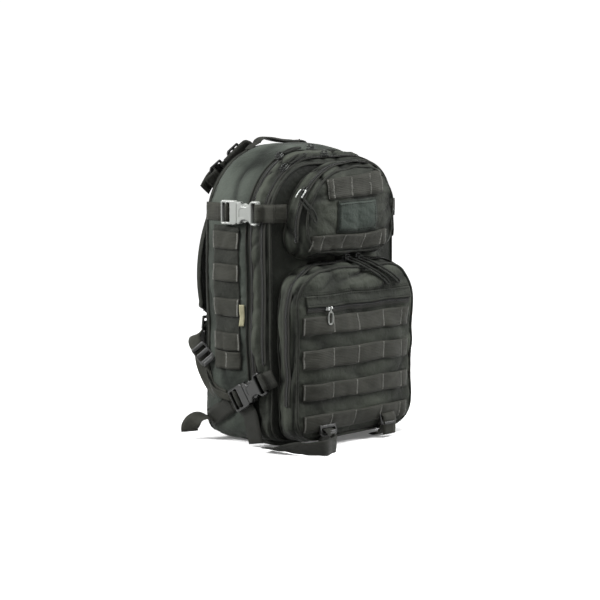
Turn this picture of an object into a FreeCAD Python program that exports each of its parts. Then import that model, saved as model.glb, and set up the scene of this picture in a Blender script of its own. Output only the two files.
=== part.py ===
# Trauma backpack: two arched compartments, two front pockets, straps, buckles and zippers.
# Frame: +Z up, the wearer's back on +Y, the pockets on -Y, origin under the base's centre. Millimetres.
import FreeCAD, Part
import math
import os
import Sketcher
from FreeCAD import Placement, Rotation, Vector

SIZES = {
    # Bag outline: half width and top height at the back, the main zipper and the front panel.
    "back_half": 138, "back_top": 422, "back_y": 50,
    "zip_half": 126, "zip_top": 414, "zip_y": -34,
    "front_half": 120, "front_top": 398, "front_y": -72,
    "body_low": 8, "corner": 96, "foot": 26, "wall": 4,
    # Upper pocket: base on the front panel, gusset edge, domed face.
    "upper_half": 98, "upper_top": 393, "upper_low": 268, "upper_corner": 90,
    "upper_zip_half": 94, "upper_zip_top": 388, "upper_zip_y": -90,
    "upper_face_half": 82, "upper_face_top": 380, "upper_face_low": 276, "upper_face_y": -108,
    # Lower pocket.
    "lower_half": 108, "lower_top": 260, "lower_low": 10, "lower_corner": 55,
    "lower_zip_y": -90, "lower_face_half": 104, "lower_face_top": 248, "lower_face_y": -112,
    # Zipper chain, sliders and cord pulls.
    "chain_thick": 2.5, "chain_wide": 5, "slider_long": 15, "slider_wide": 9, "slider_deep": 5,
    "bridge_gap": 2.3, "pull_cord": 3,
    # Webbing.
    "webbing": 25.4, "web_thick": 1.6, "row_pitch": 48.5, "front_pitch": 46, "side_strip": 47,
    # Side-release buckle for 25 mm webbing.
    "buckle_wide": 34, "socket_long": 36, "plug_long": 28, "buckle_deep": 10, "prong_long": 20,
    "buckle_travel": 20, "bar_slot": 4,
    # Back of the pack.
    "sheet_thick": 2, "panel_thick": 3, "pad_thick": 9,
    "yoke_z": 402, "strap_tilt": 4.5, "strap_thick": 12, "strap_gap": 4,
    # Handle.
    "handle_half": 40, "handle_rise": 12, "handle_thick": 3, "handle_wide": 14, "handle_y": 44,
}

doc = FreeCAD.newDocument("trauma_backpack")
sheet = doc.addObject("Spreadsheet::Sheet", "Sizes")
for row, (alias, value) in enumerate(SIZES.items(), start=1):
    sheet.set(f"A{row}", alias)
    sheet.set(f"B{row}", str(value))
    sheet.setAlias(f"B{row}", alias)
doc.recompute()
subparts = []


def size(alias):
    """The sheet's value of one driving dimension."""
    return float(sheet.get(alias))


def value_of(expression):
    """The number that an expression on the sheet gives now."""
    return float(sheet.evalExpression(expression.replace("Sizes.", "")))


def mix(first, last, share):
    """Expression between two cells, share of the way from the first to the last."""
    return f"Sizes.{first} + (Sizes.{last} - Sizes.{first}) * {share:.4f}"


# --- PartDesign helpers -----------------------------------------------------------------------

def new_body(label, alone=True):
    """PartDesign body; alone says that it is a sub-part itself and not one of a group."""
    body = doc.addObject("PartDesign::Body", label)
    body.Label = label
    if alone:
        subparts.append(body)
    return body


def group(label, members):
    """Sub-part made of several separate solids that are alike and stay together."""
    compound = doc.addObject("Part::Compound", label)
    compound.Label = label
    compound.Links = members
    subparts.append(compound)
    return compound


def plane(body, role):
    return next(item for item in body.Origin.OriginFeatures if item.Role == role)


def new_sketch(body, name, role="XZ_Plane", offset="0"):
    """Sketch on one of the body's own origin planes, offset along the plane's normal."""
    sketch = body.newObject("Sketcher::SketchObject", f"{body.Label}_{name}")
    sketch.AttachmentSupport = [(plane(body, role), "")]
    sketch.MapMode = "FlatFace"
    sketch.setExpression(".AttachmentOffset.Base.z", offset)
    return sketch


def bind(sketch, kind, geometry, name, expression):
    """Add a driving constraint whose value follows an expression on the sheet."""
    index = sketch.addConstraint(Sketcher.Constraint(kind, *geometry, value_of(expression)))
    sketch.renameConstraint(index, name)
    sketch.setExpression(f"Constraints.{name}", expression)


def arch(body, name, y, half, low, top, corner, foot):
    """Arched outline facing -Y at the depth y: upright sides, large top corners, small feet."""
    sketch = new_sketch(body, name, "XZ_Plane", f"-({y})")
    wide, base, peak = value_of(half), value_of(low), value_of(top)
    bend, toe = value_of(corner), value_of(foot)

    def arc(x, z, radius, start):
        circle = Part.Circle(Vector(x, z, 0), Vector(0, 0, 1), radius)
        return Part.ArcOfCircle(circle, math.radians(start), math.radians(start + 90))

    def line(x0, z0, x1, z1):
        return Part.LineSegment(Vector(x0, z0, 0), Vector(x1, z1, 0))

    sketch.addGeometry([
        line(-wide + toe, base, wide - toe, base),
        arc(wide - toe, base + toe, toe, -90),
        line(wide, base + toe, wide, peak - bend),
        arc(wide - bend, peak - bend, bend, 0),
        line(wide - bend, peak, -wide + bend, peak),
        arc(-wide + bend, peak - bend, bend, 90),
        line(-wide, peak - bend, -wide, base + toe),
        arc(-wide + toe, base + toe, toe, 180),
    ], False)
    for edge in range(8):
        sketch.addConstraint(Sketcher.Constraint("Tangent", edge, 2, (edge + 1) % 8, 1))
    sketch.addConstraint(Sketcher.Constraint("Symmetric", 0, 1, 0, 2, -2))
    sketch.addConstraint(Sketcher.Constraint("Vertical", 2))
    sketch.addConstraint(Sketcher.Constraint("Horizontal", 4))
    sketch.addConstraint(Sketcher.Constraint("Vertical", 6))
    sketch.addConstraint(Sketcher.Constraint("Equal", 3, 5))
    sketch.addConstraint(Sketcher.Constraint("Equal", 1, 7))
    bind(sketch, "DistanceX", (-1, 1, 2, 1), "half", half)
    bind(sketch, "DistanceY", (-1, 1, 0, 1), "low", low)
    bind(sketch, "DistanceY", (-1, 1, 4, 1), "top", top)
    bind(sketch, "Radius", (3,), "corner", corner)
    bind(sketch, "Radius", (1,), "foot", foot)
    return sketch


def loft(body, name, sketches, cut=False):
    kind = "PartDesign::SubtractiveLoft" if cut else "PartDesign::AdditiveLoft"
    feature = body.newObject(kind, f"{body.Label}_{name}")
    feature.Profile = sketches[0]
    feature.Sections = sketches[1:]
    feature.Ruled = True
    return feature


def pad(body, sketch, length, reverse=False, midplane=False):
    feature = body.newObject("PartDesign::Pad", f"{sketch.Label}_pad")
    feature.Profile = sketch
    feature.setExpression("Length", length)
    feature.Reversed = reverse
    feature.Midplane = midplane
    return feature


def pocket(body, sketch, length, reverse=False, midplane=False):
    feature = body.newObject("PartDesign::Pocket", f"{sketch.Label}_pocket")
    feature.Profile = sketch
    feature.setExpression("Length", length)
    feature.Reversed = reverse
    feature.Midplane = midplane
    return feature


def rectangle(sketch, left, low, right, top):
    """Rectangle between four expressions; each side keeps its signed distance to the origin."""
    x0, y0, x1, y1 = (value_of(item) for item in (left, low, right, top))
    corners = [Vector(x0, y0, 0), Vector(x1, y0, 0), Vector(x1, y1, 0), Vector(x0, y1, 0)]
    first = sketch.GeometryCount
    for index in range(4):
        sketch.addGeometry(Part.LineSegment(corners[index], corners[(index + 1) % 4]), False)
    for index in range(4):
        sketch.addConstraint(Sketcher.Constraint(
            "Coincident", first + index, 2, first + (index + 1) % 4, 1))
    for index in (0, 2):
        sketch.addConstraint(Sketcher.Constraint("Horizontal", first + index))
        sketch.addConstraint(Sketcher.Constraint("Vertical", first + index + 1))
    tag = f"r{first}_"
    bind(sketch, "DistanceX", (-1, 1, first, 1), tag + "left", left)
    bind(sketch, "DistanceY", (-1, 1, first, 1), tag + "low", low)
    bind(sketch, "DistanceX", (-1, 1, first + 1, 2), tag + "right", right)
    bind(sketch, "DistanceY", (-1, 1, first + 1, 2), tag + "top", top)


def polygon(sketch, points):
    """Closed straight-sided outline through points worked out from the sheet."""
    first = sketch.GeometryCount
    count = len(points)
    for index in range(count):
        start, end = points[index], points[(index + 1) % count]
        sketch.addGeometry(Part.LineSegment(Vector(*start, 0), Vector(*end, 0)), False)
    for index in range(count):
        sketch.addConstraint(Sketcher.Constraint(
            "Coincident", first + index, 2, first + (index + 1) % count, 1))
        sketch.addConstraint(Sketcher.Constraint("Block", first + index))


def round_edges(body, feature, radius, pick):
    """Fillet the edges of a feature that pick(edge) chooses."""
    doc.recompute()
    names = [f"Edge{n}" for n, edge in enumerate(feature.Shape.Edges, start=1) if pick(edge)]
    fillet = body.newObject("PartDesign::Fillet", f"{feature.Label}_fillet")
    fillet.Base = (feature, names)
    fillet.Radius = radius
    return fillet


# --- Part helpers -----------------------------------------------------------------------------

def keep(label, shape, placement=None):
    """A sub-part whose shape is worked out from the sheet's sizes in code."""
    feature = doc.addObject("Part::Feature", label)
    feature.Label = label
    feature.Shape = shape
    if placement is not None:
        feature.Placement = placement
    subparts.append(feature)
    return feature


def strip(start, end, face, width, thick):
    """Flat webbing from start to end, lying on the side that the direction face points away from."""
    along = end - start
    length = along.Length
    along.normalize()
    out = Vector(face) - along * along.dot(face)
    out.normalize()
    across = out.cross(along)
    solid = Part.makeBox(length, width, thick, Vector(0, -width / 2, 0))
    frame = FreeCAD.Matrix(along.x, across.x, out.x, start.x, along.y, across.y, out.y, start.y,
                           along.z, across.z, out.z, start.z, 0, 0, 0, 1)
    solid.transformShape(frame)
    return solid


def ribbon(points, across, width, thick):
    """Webbing that bends along a route in one plane; across is the direction of its width."""
    across = Vector(across).normalize()
    sides = []
    for index, point in enumerate(points):
        before = (point - points[index - 1]).normalize() if index else None
        after = (points[index + 1] - point).normalize() if index + 1 < len(points) else None
        tangent = (before or after) + (after or before)
        normal = across.cross(tangent.normalize())
        reach = 1.0 if not (before and after) else 1 / max(0.4, normal.dot(across.cross(before)))
        sides.append(normal * (thick * reach / 2))
    outline = [p + s for p, s in zip(points, sides)] + [p - s for p, s in zip(points, sides)][::-1]
    face = Part.Face(Part.makePolygon(outline + [outline[0]]))
    face.translate(across * (-width / 2))
    return face.extrude(across * width)


def tube(points, thick):
    """Round cord along straight runs joined by arcs as large as the runs allow."""
    edges, cursor, radii = [], points[0], []
    for index in range(1, len(points) - 1):
        before = points[index] - points[index - 1]
        after = points[index + 1] - points[index]
        turn = before.getAngle(after)
        reach = 0.45 * min(before.Length, after.Length)
        radii.append(reach / math.tan(turn / 2))
        entry = points[index] - before.normalize() * reach
        leave = points[index] + after.normalize() * reach
        inward = (after - before).normalize()
        depth = radii[-1] * (1 / math.cos(turn / 2) - 1)
        edges.append(Part.LineSegment(cursor, entry).toShape())
        edges.append(Part.Arc(entry, points[index] + inward * depth, leave).toShape())
        cursor = leave
    edges.append(Part.LineSegment(cursor, points[-1]).toShape())
    path = Part.Wire(edges)
    section = Part.Wire(Part.makeCircle(thick / 2, points[0], points[1] - points[0]))
    solid = path.makePipeShell([section], True, False)
    expected = math.pi * (thick / 2) ** 2 * path.Length
    print(f"cord {path.Length:.1f} mm, least radius {min(radii):.1f} mm, "
          f"volume share {solid.Volume / expected:.3f}")
    return solid


SIDES = (("left", -1), ("right", 1))


# --- Compartments -----------------------------------------------------------------------------

def shell(label, stations, wall):
    """Closed fabric shell lofted through arched stations, hollow inside by the wall's thickness."""
    body = new_body(label)
    outer = [arch(body, f"outer{n}", *station) for n, station in enumerate(stations)]
    loft(body, "skin", outer)
    inner = []
    for number, (y, half, low, top, corner, foot) in enumerate(stations):
        depth = y
        if number == 0:
            depth = f"({y}) - {wall}"
        if number == len(stations) - 1:
            depth = f"({y}) + {wall}"
        inner.append(arch(body, f"inner{number}", depth, f"({half}) - {wall}", f"({low}) + {wall}",
                          f"({top}) - {wall}", f"({corner}) - {wall}", f"({foot}) - {wall}"))
    loft(body, "hollow", inner, cut=True)
    return body


def make_compartments():
    wall = "Sizes.wall"
    back = ("Sizes.back_y - Sizes.sheet_thick", "Sizes.back_half", "Sizes.body_low",
            "Sizes.back_top", "Sizes.corner", "Sizes.foot")
    middle = ("Sizes.zip_y", "Sizes.zip_half", "Sizes.body_low", "Sizes.zip_top",
              "Sizes.corner", "Sizes.foot")
    front = ("Sizes.front_y", "Sizes.front_half", "Sizes.body_low", "Sizes.front_top",
             "Sizes.corner", "Sizes.foot")
    shell("main_compartment", (back, middle), wall)
    shell("second_compartment", (middle, front), wall)
    shell("upper_pocket", (
        ("Sizes.front_y", "Sizes.upper_half", "Sizes.upper_low", "Sizes.upper_top",
         "Sizes.upper_corner", "Sizes.foot"),
        ("Sizes.upper_zip_y", "Sizes.upper_zip_half", "Sizes.upper_low + 4", "Sizes.upper_zip_top",
         "Sizes.upper_corner - 4", "Sizes.foot"),
        ("Sizes.upper_face_y", "Sizes.upper_face_half", "Sizes.upper_face_low",
         "Sizes.upper_face_top", "Sizes.upper_corner - 24", "Sizes.foot - 4")), "3")
    shell("lower_pocket", (
        ("Sizes.front_y", "Sizes.lower_half", "Sizes.lower_low", "Sizes.lower_top",
         "Sizes.lower_corner", "Sizes.foot"),
        ("Sizes.lower_zip_y", "Sizes.lower_half", "Sizes.lower_low", "Sizes.lower_top - 2",
         "Sizes.lower_corner", "Sizes.foot"),
        ("Sizes.lower_face_y", "Sizes.lower_face_half", "Sizes.lower_low + 6",
         "Sizes.lower_face_top", "Sizes.lower_corner - 10", "Sizes.foot")), "3")

    base = new_body("base_panel")
    outline = new_sketch(base, "outline", "XY_Plane")
    rectangle(outline, "-(Sizes.front_half - 18)", "Sizes.front_y + 6",
              "Sizes.front_half - 18", "Sizes.back_y - 6")
    pad(base, outline, "Sizes.body_low")


def band(label, y, half, top, corner, low, thick, wide):
    """Zipper chain that runs over an arch and down both sides, just outside the shell."""
    body = new_body(label)
    outer = arch(body, "outer", y, f"{half} + {thick}", low, f"{top} + {thick}",
                 f"{corner} + {thick}", "1")
    pad(body, outer, wide)
    inner = arch(body, "inner", y, half, f"({low}) - 6", top, corner, "1")
    pocket(body, inner, f"{wide} + 1", reverse=True)
    return body


def make_zipper_chains():
    thick, wide = "Sizes.chain_thick", "Sizes.chain_wide"
    band("main_zipper_chain", "Sizes.zip_y", "Sizes.zip_half", "Sizes.zip_top", "Sizes.corner",
         "58", thick, wide)
    second_share = 0.55
    band("second_zipper_chain", mix("zip_y", "front_y", second_share),
         "(" + mix("zip_half", "front_half", second_share) + ")",
         "(" + mix("zip_top", "front_top", second_share) + ")", "Sizes.corner", "118", thick, wide)
    band("upper_pocket_zipper_chain", "Sizes.upper_zip_y", "Sizes.upper_zip_half",
         "Sizes.upper_zip_top", "(Sizes.upper_corner - 4)", "290", thick, wide)
    band("lower_pocket_zipper_chain", "Sizes.lower_zip_y", "Sizes.lower_half",
         "(Sizes.lower_top - 2)", "Sizes.lower_corner", "58", thick, wide)


# --- Back of the pack -------------------------------------------------------------------------

def plate(label, y, half, low, top, corner, foot, thick):
    """Arched flat piece whose front side is at the depth y."""
    body = new_body(label)
    pad(body, arch(body, "outline", y, half, low, top, corner, foot), thick, reverse=True)
    return body


def make_back():
    plate("frame_sheet", "Sizes.back_y - Sizes.sheet_thick", "Sizes.back_half - 14", "24",
          "Sizes.back_top - 16", "Sizes.corner - 14", "Sizes.foot", "Sizes.sheet_thick")
    plate("back_panel", "Sizes.back_y", "Sizes.back_half - 3", "Sizes.body_low + 4",
          "Sizes.back_top - 3", "Sizes.corner - 3", "Sizes.foot", "Sizes.panel_thick")
    pad_y = "Sizes.back_y + Sizes.panel_thick"
    pads = []
    for name, side in SIDES:
        body = new_body(f"back_pad_{name}", alone=False)
        outline = new_sketch(body, "outline", "XZ_Plane", f"-({pad_y})")
        edges = sorted((side * 16, side * 74))
        rectangle(outline, str(edges[0]), "150", str(edges[1]), "350")
        feature = pad(body, outline, "Sizes.pad_thick", reverse=True)
        round_edges(body, feature, 14, lambda edge: edge.BoundBox.YLength > 5)
        pads.append(body)
    group("back_pads", pads)
    plate("lumbar_pad", pad_y, "92", "36", "134", "18", "18", "Sizes.pad_thick")
    yoke = new_body("yoke_panel")
    outline = new_sketch(yoke, "outline", "XZ_Plane", f"-({pad_y})")
    rectangle(outline, "-72", "366", "72", "Sizes.yoke_z - 4")
    pad(yoke, outline, "2", reverse=True)


# --- Attachment webbing and patches -----------------------------------------------------------

def face_row(left, right, low, y, width):
    """Flat webbing row on a front face at the depth y."""
    thick = size("web_thick")
    return Part.makeBox(right - left, thick, width, Vector(left, y - thick, low))


def side_frame(side, y, z):
    """Point on the main compartment's side wall, and the wall's outward direction."""
    run = size("back_y") - size("sheet_thick") - size("zip_y")
    slope = (size("back_half") - size("zip_half")) / run
    half = size("zip_half") + (y - size("zip_y")) * slope
    return Vector(side * half, y, z), Vector(side, -slope, 0).normalize()


def make_attachment_webbing():
    width, thick = size("webbing"), size("web_thick")
    half, depth = size("lower_face_half") - 4, size("lower_face_y")
    keep("lower_attachment_rows", Part.makeCompound([
        face_row(-half, half, 188 - index * size("front_pitch") - width, depth, width)
        for index in range(4)]))
    depth = size("upper_face_y")
    keep("upper_attachment_rows", Part.makeCompound([
        face_row(-50, 52, 347, depth, width), face_row(-71, 71, 279, depth, width - 3)]))
    loops = new_body("loop_field")
    outline = new_sketch(loops, "outline", "XZ_Plane", "-(Sizes.upper_face_y)")
    rectangle(outline, "-34", "303", "44", "344")
    pad(loops, outline, "1.2")
    patch = new_body("blank_patch")
    outline = new_sketch(patch, "outline", "XZ_Plane", "-(Sizes.upper_face_y - 1.2)")
    rectangle(outline, "-31", "306", "41", "341")
    pad(patch, outline, "1.4")
    flap = new_body("slash_pocket_flap")
    outline = new_sketch(flap, "outline", "XZ_Plane", "-(Sizes.lower_face_y)")
    rectangle(outline, "-92", "203", "98", "213")
    pad(flap, outline, "2.5")
    chain = new_body("slash_zipper_chain")
    outline = new_sketch(chain, "outline", "XZ_Plane", "-(Sizes.lower_face_y)")
    rectangle(outline, "-92", "196", "98", "202.6")
    pad(chain, outline, "1.6")

    backings, cells = [], []
    low, high, backing_thick = 108, 313, 1.5
    for name, side in SIDES:
        start, out = side_frame(side, -3.5, low)
        end = Vector(start.x, start.y, high)
        backings.append(strip(start, end, out, size("side_strip"), backing_thick))
        lift = out * backing_thick
        for index in range(4):
            top = 306 - index * size("row_pitch")
            cells.append(strip(Vector(start.x, start.y, top - width) + lift,
                               Vector(start.x, start.y, top) + lift, out,
                               size("side_strip") - 2, thick))
    keep("side_strip_backings", Part.makeCompound(backings))
    keep("side_attachment_rows", Part.makeCompound(cells))
    tag_point, out = side_frame(-1, size("zip_y") + 3, 178)
    keep("seam_tag", strip(tag_point, tag_point + Vector(0, 0, 30), out, 5, 1))


# --- Buckles ----------------------------------------------------------------------------------
# Local frame: the plug's pull-out direction is -X, +Z is the outward face, Y is the width.

def plug_body(label, place, alone=True):
    """Side-release plug: ladder end with two slots, two sprung prongs and a centre guide."""
    wide, deep, base = size("buckle_wide"), size("buckle_deep"), size("plug_long")
    prong = size("prong_long")
    slot = size("bar_slot")
    body = new_body(label, alone)
    outline = new_sketch(body, "outline", "XY_Plane")
    half = wide / 2
    polygon(outline, [
        (-base, -half + 3), (-base + 3, -half), (-5, -half), (0, -half + 5), (prong - 9, -half + 4),
        (prong - 8, -half + 1), (prong - 1, -half + 5), (prong, -half + 8), (6, -half + 9),
        (4, -2.5), (prong - 3, -1.8), (prong - 3, 1.8), (4, 2.5), (6, half - 9),
        (prong, half - 8), (prong - 1, half - 5), (prong - 8, half - 1), (prong - 9, half - 4),
        (0, half - 5), (-5, half), (-base + 3, half), (-base, half - 3)])
    pad(body, outline, "Sizes.buckle_deep - 4.6", midplane=True)
    slots = new_sketch(body, "slots", "XY_Plane")
    opening = half - 3.6
    for left in (-base + 3.2, -base + 3.2 + slot + 3.4):
        rectangle(slots, f"{left:.3f}", f"{-opening:.3f}", f"{left:.3f} + Sizes.bar_slot",
                  f"{opening:.3f}")
    pocket(body, slots, f"{deep} + 2", midplane=True)
    body.Placement = place
    return body


def socket_body(label, place, alone=True):
    """Side-release socket: open mouth towards the plug, side windows, one webbing bar."""
    deep, long = size("buckle_deep"), size("socket_long")
    half = size("buckle_wide") / 2
    body = new_body(label, alone)
    outline = new_sketch(body, "outline", "XY_Plane")
    gap = 0.4
    polygon(outline, [
        (gap, -half + 1), (9, -half + 2.4), (11, -half + 4.6), (19, -half + 4.6), (21, -half + 1.5),
        (24, -half), (long - 3, -half), (long, -half + 3), (long, half - 3), (long - 3, half),
        (24, half), (21, half - 1.5), (19, half - 4.6), (11, half - 4.6), (9, half - 2.4),
        (gap, half - 1)])
    block = pad(body, outline, "Sizes.buckle_deep", midplane=True)
    round_edges(body, block, 1.6, lambda edge: edge.BoundBox.ZLength < 0.1
                and edge.BoundBox.XMin > 0.6)
    mouth = new_sketch(body, "mouth", "XY_Plane")
    rectangle(mouth, "-1", f"-{half - 0.6}", "Sizes.prong_long + 1", f"{half - 0.6}")
    pocket(body, mouth, "Sizes.buckle_deep - 4", midplane=True)
    bar = new_sketch(body, "bar", "XY_Plane")
    rectangle(bar, "Sizes.socket_long - 8", f"-{half - 3.6}", "Sizes.socket_long - 3.2",
              f"{half - 3.6}")
    pocket(body, bar, f"{deep} + 2", midplane=True)
    body.Placement = place
    return body


def frame_at(origin, along, out):
    """Placement whose local +X is along and whose local +Z is out."""
    along = Vector(along).normalize()
    out = (Vector(out) - along * along.dot(out)).normalize()
    across = out.cross(along)
    return Placement(origin, Rotation(along, across, out, "XZY"))


def side_buckle(label, side, origin, along, out, tail_end, seam_end):
    """Buckle on the bag's side; its two webbing runs leave room for the plug's travel."""
    along = Vector(side * -along[0], along[1], along[2]).normalize()
    out = Vector(side * out[0], out[1], out[2])
    origin = Vector(side * origin[0], origin[1], origin[2])
    place = frame_at(origin, along, out)
    plug_body(f"{label}_plug", place)
    socket = socket_body(f"{label}_socket", place, alone=False)
    width, thick = size("webbing") - 0.8, size("web_thick")
    outward = place.Rotation.multVec(Vector(0, 0, 1))
    rear = origin - along * (size("plug_long") + size("buckle_travel") + 4) - outward * 4
    front = origin + along * (size("socket_long") + 2.5) - outward * 2
    tail = Vector(side * tail_end[0], tail_end[1], tail_end[2])
    seam = Vector(side * seam_end[0], seam_end[1], seam_end[2])
    runs = [strip(tail, rear, out, width, thick), strip(front, seam, out, width, thick)]
    return socket, runs


def make_side_straps():
    webbing = []
    for height, origin, along, tail, seam in (
            ("upper", (137.8, -21, 331), (0.208, -0.978, 0), (139.2, 47, 331), (121.6, -71, 331)),
            ("lower", (135.2, -35, 77), (0.17, -0.83, 0.53), (139.4, 41, 29), (121.8, -71.5, 100))):
        sockets = []
        for name, side in SIDES:
            socket, runs = side_buckle(f"{height}_strap_{name}", side, origin, along,
                                       (0.98, -0.20, 0), tail, seam)
            sockets.append(socket)
            webbing += runs
        group(f"{height}_strap_sockets", sockets)
    keep("side_strap_webbing", Part.makeCompound(webbing))


# --- Hardware on the zippers ------------------------------------------------------------------

def slider_body(label, place):
    """Zipper slider: a wedge that narrows towards its tail, with a bridge for the pull."""
    long, wide, deep = size("slider_long"), size("slider_wide"), size("slider_deep")
    body = new_body(label)
    outline = new_sketch(body, "outline", "XY_Plane")
    polygon(outline, [(-long / 2, -wide * 0.32), (long * 0.15, -wide / 2), (long / 2, -wide * 0.36),
                      (long * 0.36, 0), (long / 2, wide * 0.36), (long * 0.15, wide / 2),
                      (-long / 2, wide * 0.32)])
    pad(body, outline, "Sizes.slider_deep")
    bridge = new_sketch(body, "bridge", "XZ_Plane")
    gap, high = deep + size("bridge_gap"), deep + size("bridge_gap") + 1.4
    polygon(bridge, [(-long * 0.34, deep - 0.1), (-long * 0.34, gap), (-long * 0.22, high),
                     (long * 0.18, high), (long * 0.3, gap), (long * 0.3, deep - 0.1),
                     (long * 0.18, deep - 0.1), (long * 0.18, gap), (-long * 0.22, gap),
                     (-long * 0.22, deep - 0.1)])
    pad(body, bridge, "2.6", midplane=True)
    body.Placement = place
    return body


def arc_seat(half, top, corner, y, side, angle):
    """Seat of a slider on an arch's corner: angle in degrees from straight up, out to one side."""
    turn = math.radians(angle)
    centre = Vector(side * (half - corner), y, top - corner)
    out = Vector(side * math.sin(turn), 0, math.cos(turn))
    along = Vector(side * math.cos(turn), 0, -math.sin(turn))
    reach = corner + size("chain_thick") + 0.3
    return centre + out * reach, along, out


def make_sliders():
    middle = size("chain_wide") / 2
    main = (size("zip_half"), size("zip_top"), size("corner"), size("zip_y") - middle)
    share = 0.55
    second_y = size("zip_y") + (size("front_y") - size("zip_y")) * share - middle
    second = (size("zip_half") + (size("front_half") - size("zip_half")) * share,
              size("zip_top") + (size("front_top") - size("zip_top")) * share,
              size("corner"), second_y)
    upper = (size("upper_zip_half"), size("upper_zip_top"), size("upper_corner") - 4,
             size("upper_zip_y") - middle)
    seats = {
        "main_slider_left": arc_seat(*main, -1, 26),
        "second_slider_left": arc_seat(*second, -1, 34),
        "upper_pocket_slider_left": arc_seat(*upper, -1, 50),
        "upper_pocket_slider_right": arc_seat(*upper, 1, 74),
    }
    flat = size("chain_thick") + 0.3
    up = Vector(0, 0, 1)
    for label, x, y, z, heading in (
            ("main_slider_right", -12, main[3], main[1] + flat, 1),
            ("second_slider_right", -6, second[3], second[1] + flat, 1),
            ("lower_pocket_slider_left", 5, size("lower_zip_y") - middle,
             size("lower_top") - 2 + flat, -1),
            ("lower_pocket_slider_right", 27, size("lower_zip_y") - middle,
             size("lower_top") - 2 + flat, 1)):
        seats[label] = (Vector(x, y, z), Vector(heading, 0, 0), up)
    for label, (origin, along, out) in seats.items():
        slider_body(label, frame_at(origin, along, out))
    slash = Vector(-56, size("lower_face_y") - 3, 199.8)
    slider_body("slash_slider", frame_at(slash, Vector(-1, 0, 0), Vector(0, -1, 0)))

    # Oval pull: a small eye round the slider's bridge bar, a neck and a flat oval ring below it.
    bar = Vector(slash.x, slash.y - size("slider_deep") - size("bridge_gap") - 0.7, slash.z)
    eye = Part.makeTorus(2.15, 0.55, bar, Vector(1, 0, 0))
    neck = Part.makeBox(1.8, 1.2, 3, bar + Vector(-0.9, -0.6, -5.2))
    ring = Part.makeCylinder(5.2, 1.4, Vector(0, 0.7, 0), Vector(0, -1, 0))
    ring = ring.fuse(Part.makeCylinder(5.2, 1.4, Vector(0, 0.7, -9), Vector(0, -1, 0)))
    ring = ring.fuse(Part.makeBox(10.4, 1.4, 9, Vector(-5.2, -0.7, -9)))
    for z in (0, -9):
        ring = ring.cut(Part.makeCylinder(3, 4, Vector(0, 2, z), Vector(0, -1, 0)))
    ring = ring.cut(Part.makeBox(6, 4, 9, Vector(-3, -2, -9)))
    ring.translate(bar - Vector(0, 0, 10))
    keep("slash_pull", eye.fuse(neck).fuse(ring).removeSplitter())

    # Hook-shaped pull of the upper pocket: a round bar under the bridge and two flat legs.
    origin, along, out = seats["upper_pocket_slider_left"]
    reach, wire, height = 14.4, 0.95, size("slider_deep") + size("bridge_gap") / 2
    hook = Part.makeCylinder(wire, reach, Vector(-0.3, -reach / 2, height), Vector(0, 1, 0))
    for low in (-reach / 2, reach / 2 - 2.4):
        hook = hook.fuse(Part.makeBox(15, 2.4, 2 * wire, Vector(-0.3, low, height - wire)))
    keep("upper_pocket_hook_pull", hook.removeSplitter(), frame_at(origin, along, out))


# --- Handle, harness and lower straps ---------------------------------------------------------

def make_handle():
    half, rise, thick = size("handle_half"), size("handle_rise"), size("handle_thick")
    top, wide, y = size("back_top"), size("handle_wide"), size("handle_y")
    route = [(-half - 5, top + 6), (-half + 8, top + rise - 1), (-half + 18, top + rise + thick / 2),
             (half - 18, top + rise + thick / 2), (half - 8, top + rise - 1), (half + 5, top + 6)]
    points = [Vector(x, y, z) for x, z in route]
    keep("grab_handle", ribbon(points, (0, 1, 0), wide - 4, thick))
    anchors = []
    for side in (-1, 1):
        left = side * (half + 8.5) - 1.5
        anchors.append(Part.makeBox(3, wide, 10, Vector(left, y - wide / 2, top)))
    keep("handle_anchors", Part.makeCompound(anchors))


def strap_plane(z, lift=0.0):
    """Depth of the shoulder straps' inner face at a height; they lean away from the back."""
    back = size("back_y") + size("panel_thick") + size("pad_thick") + size("strap_gap")
    return back + (size("yoke_z") - z) * math.tan(math.radians(size("strap_tilt"))) + lift


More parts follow.
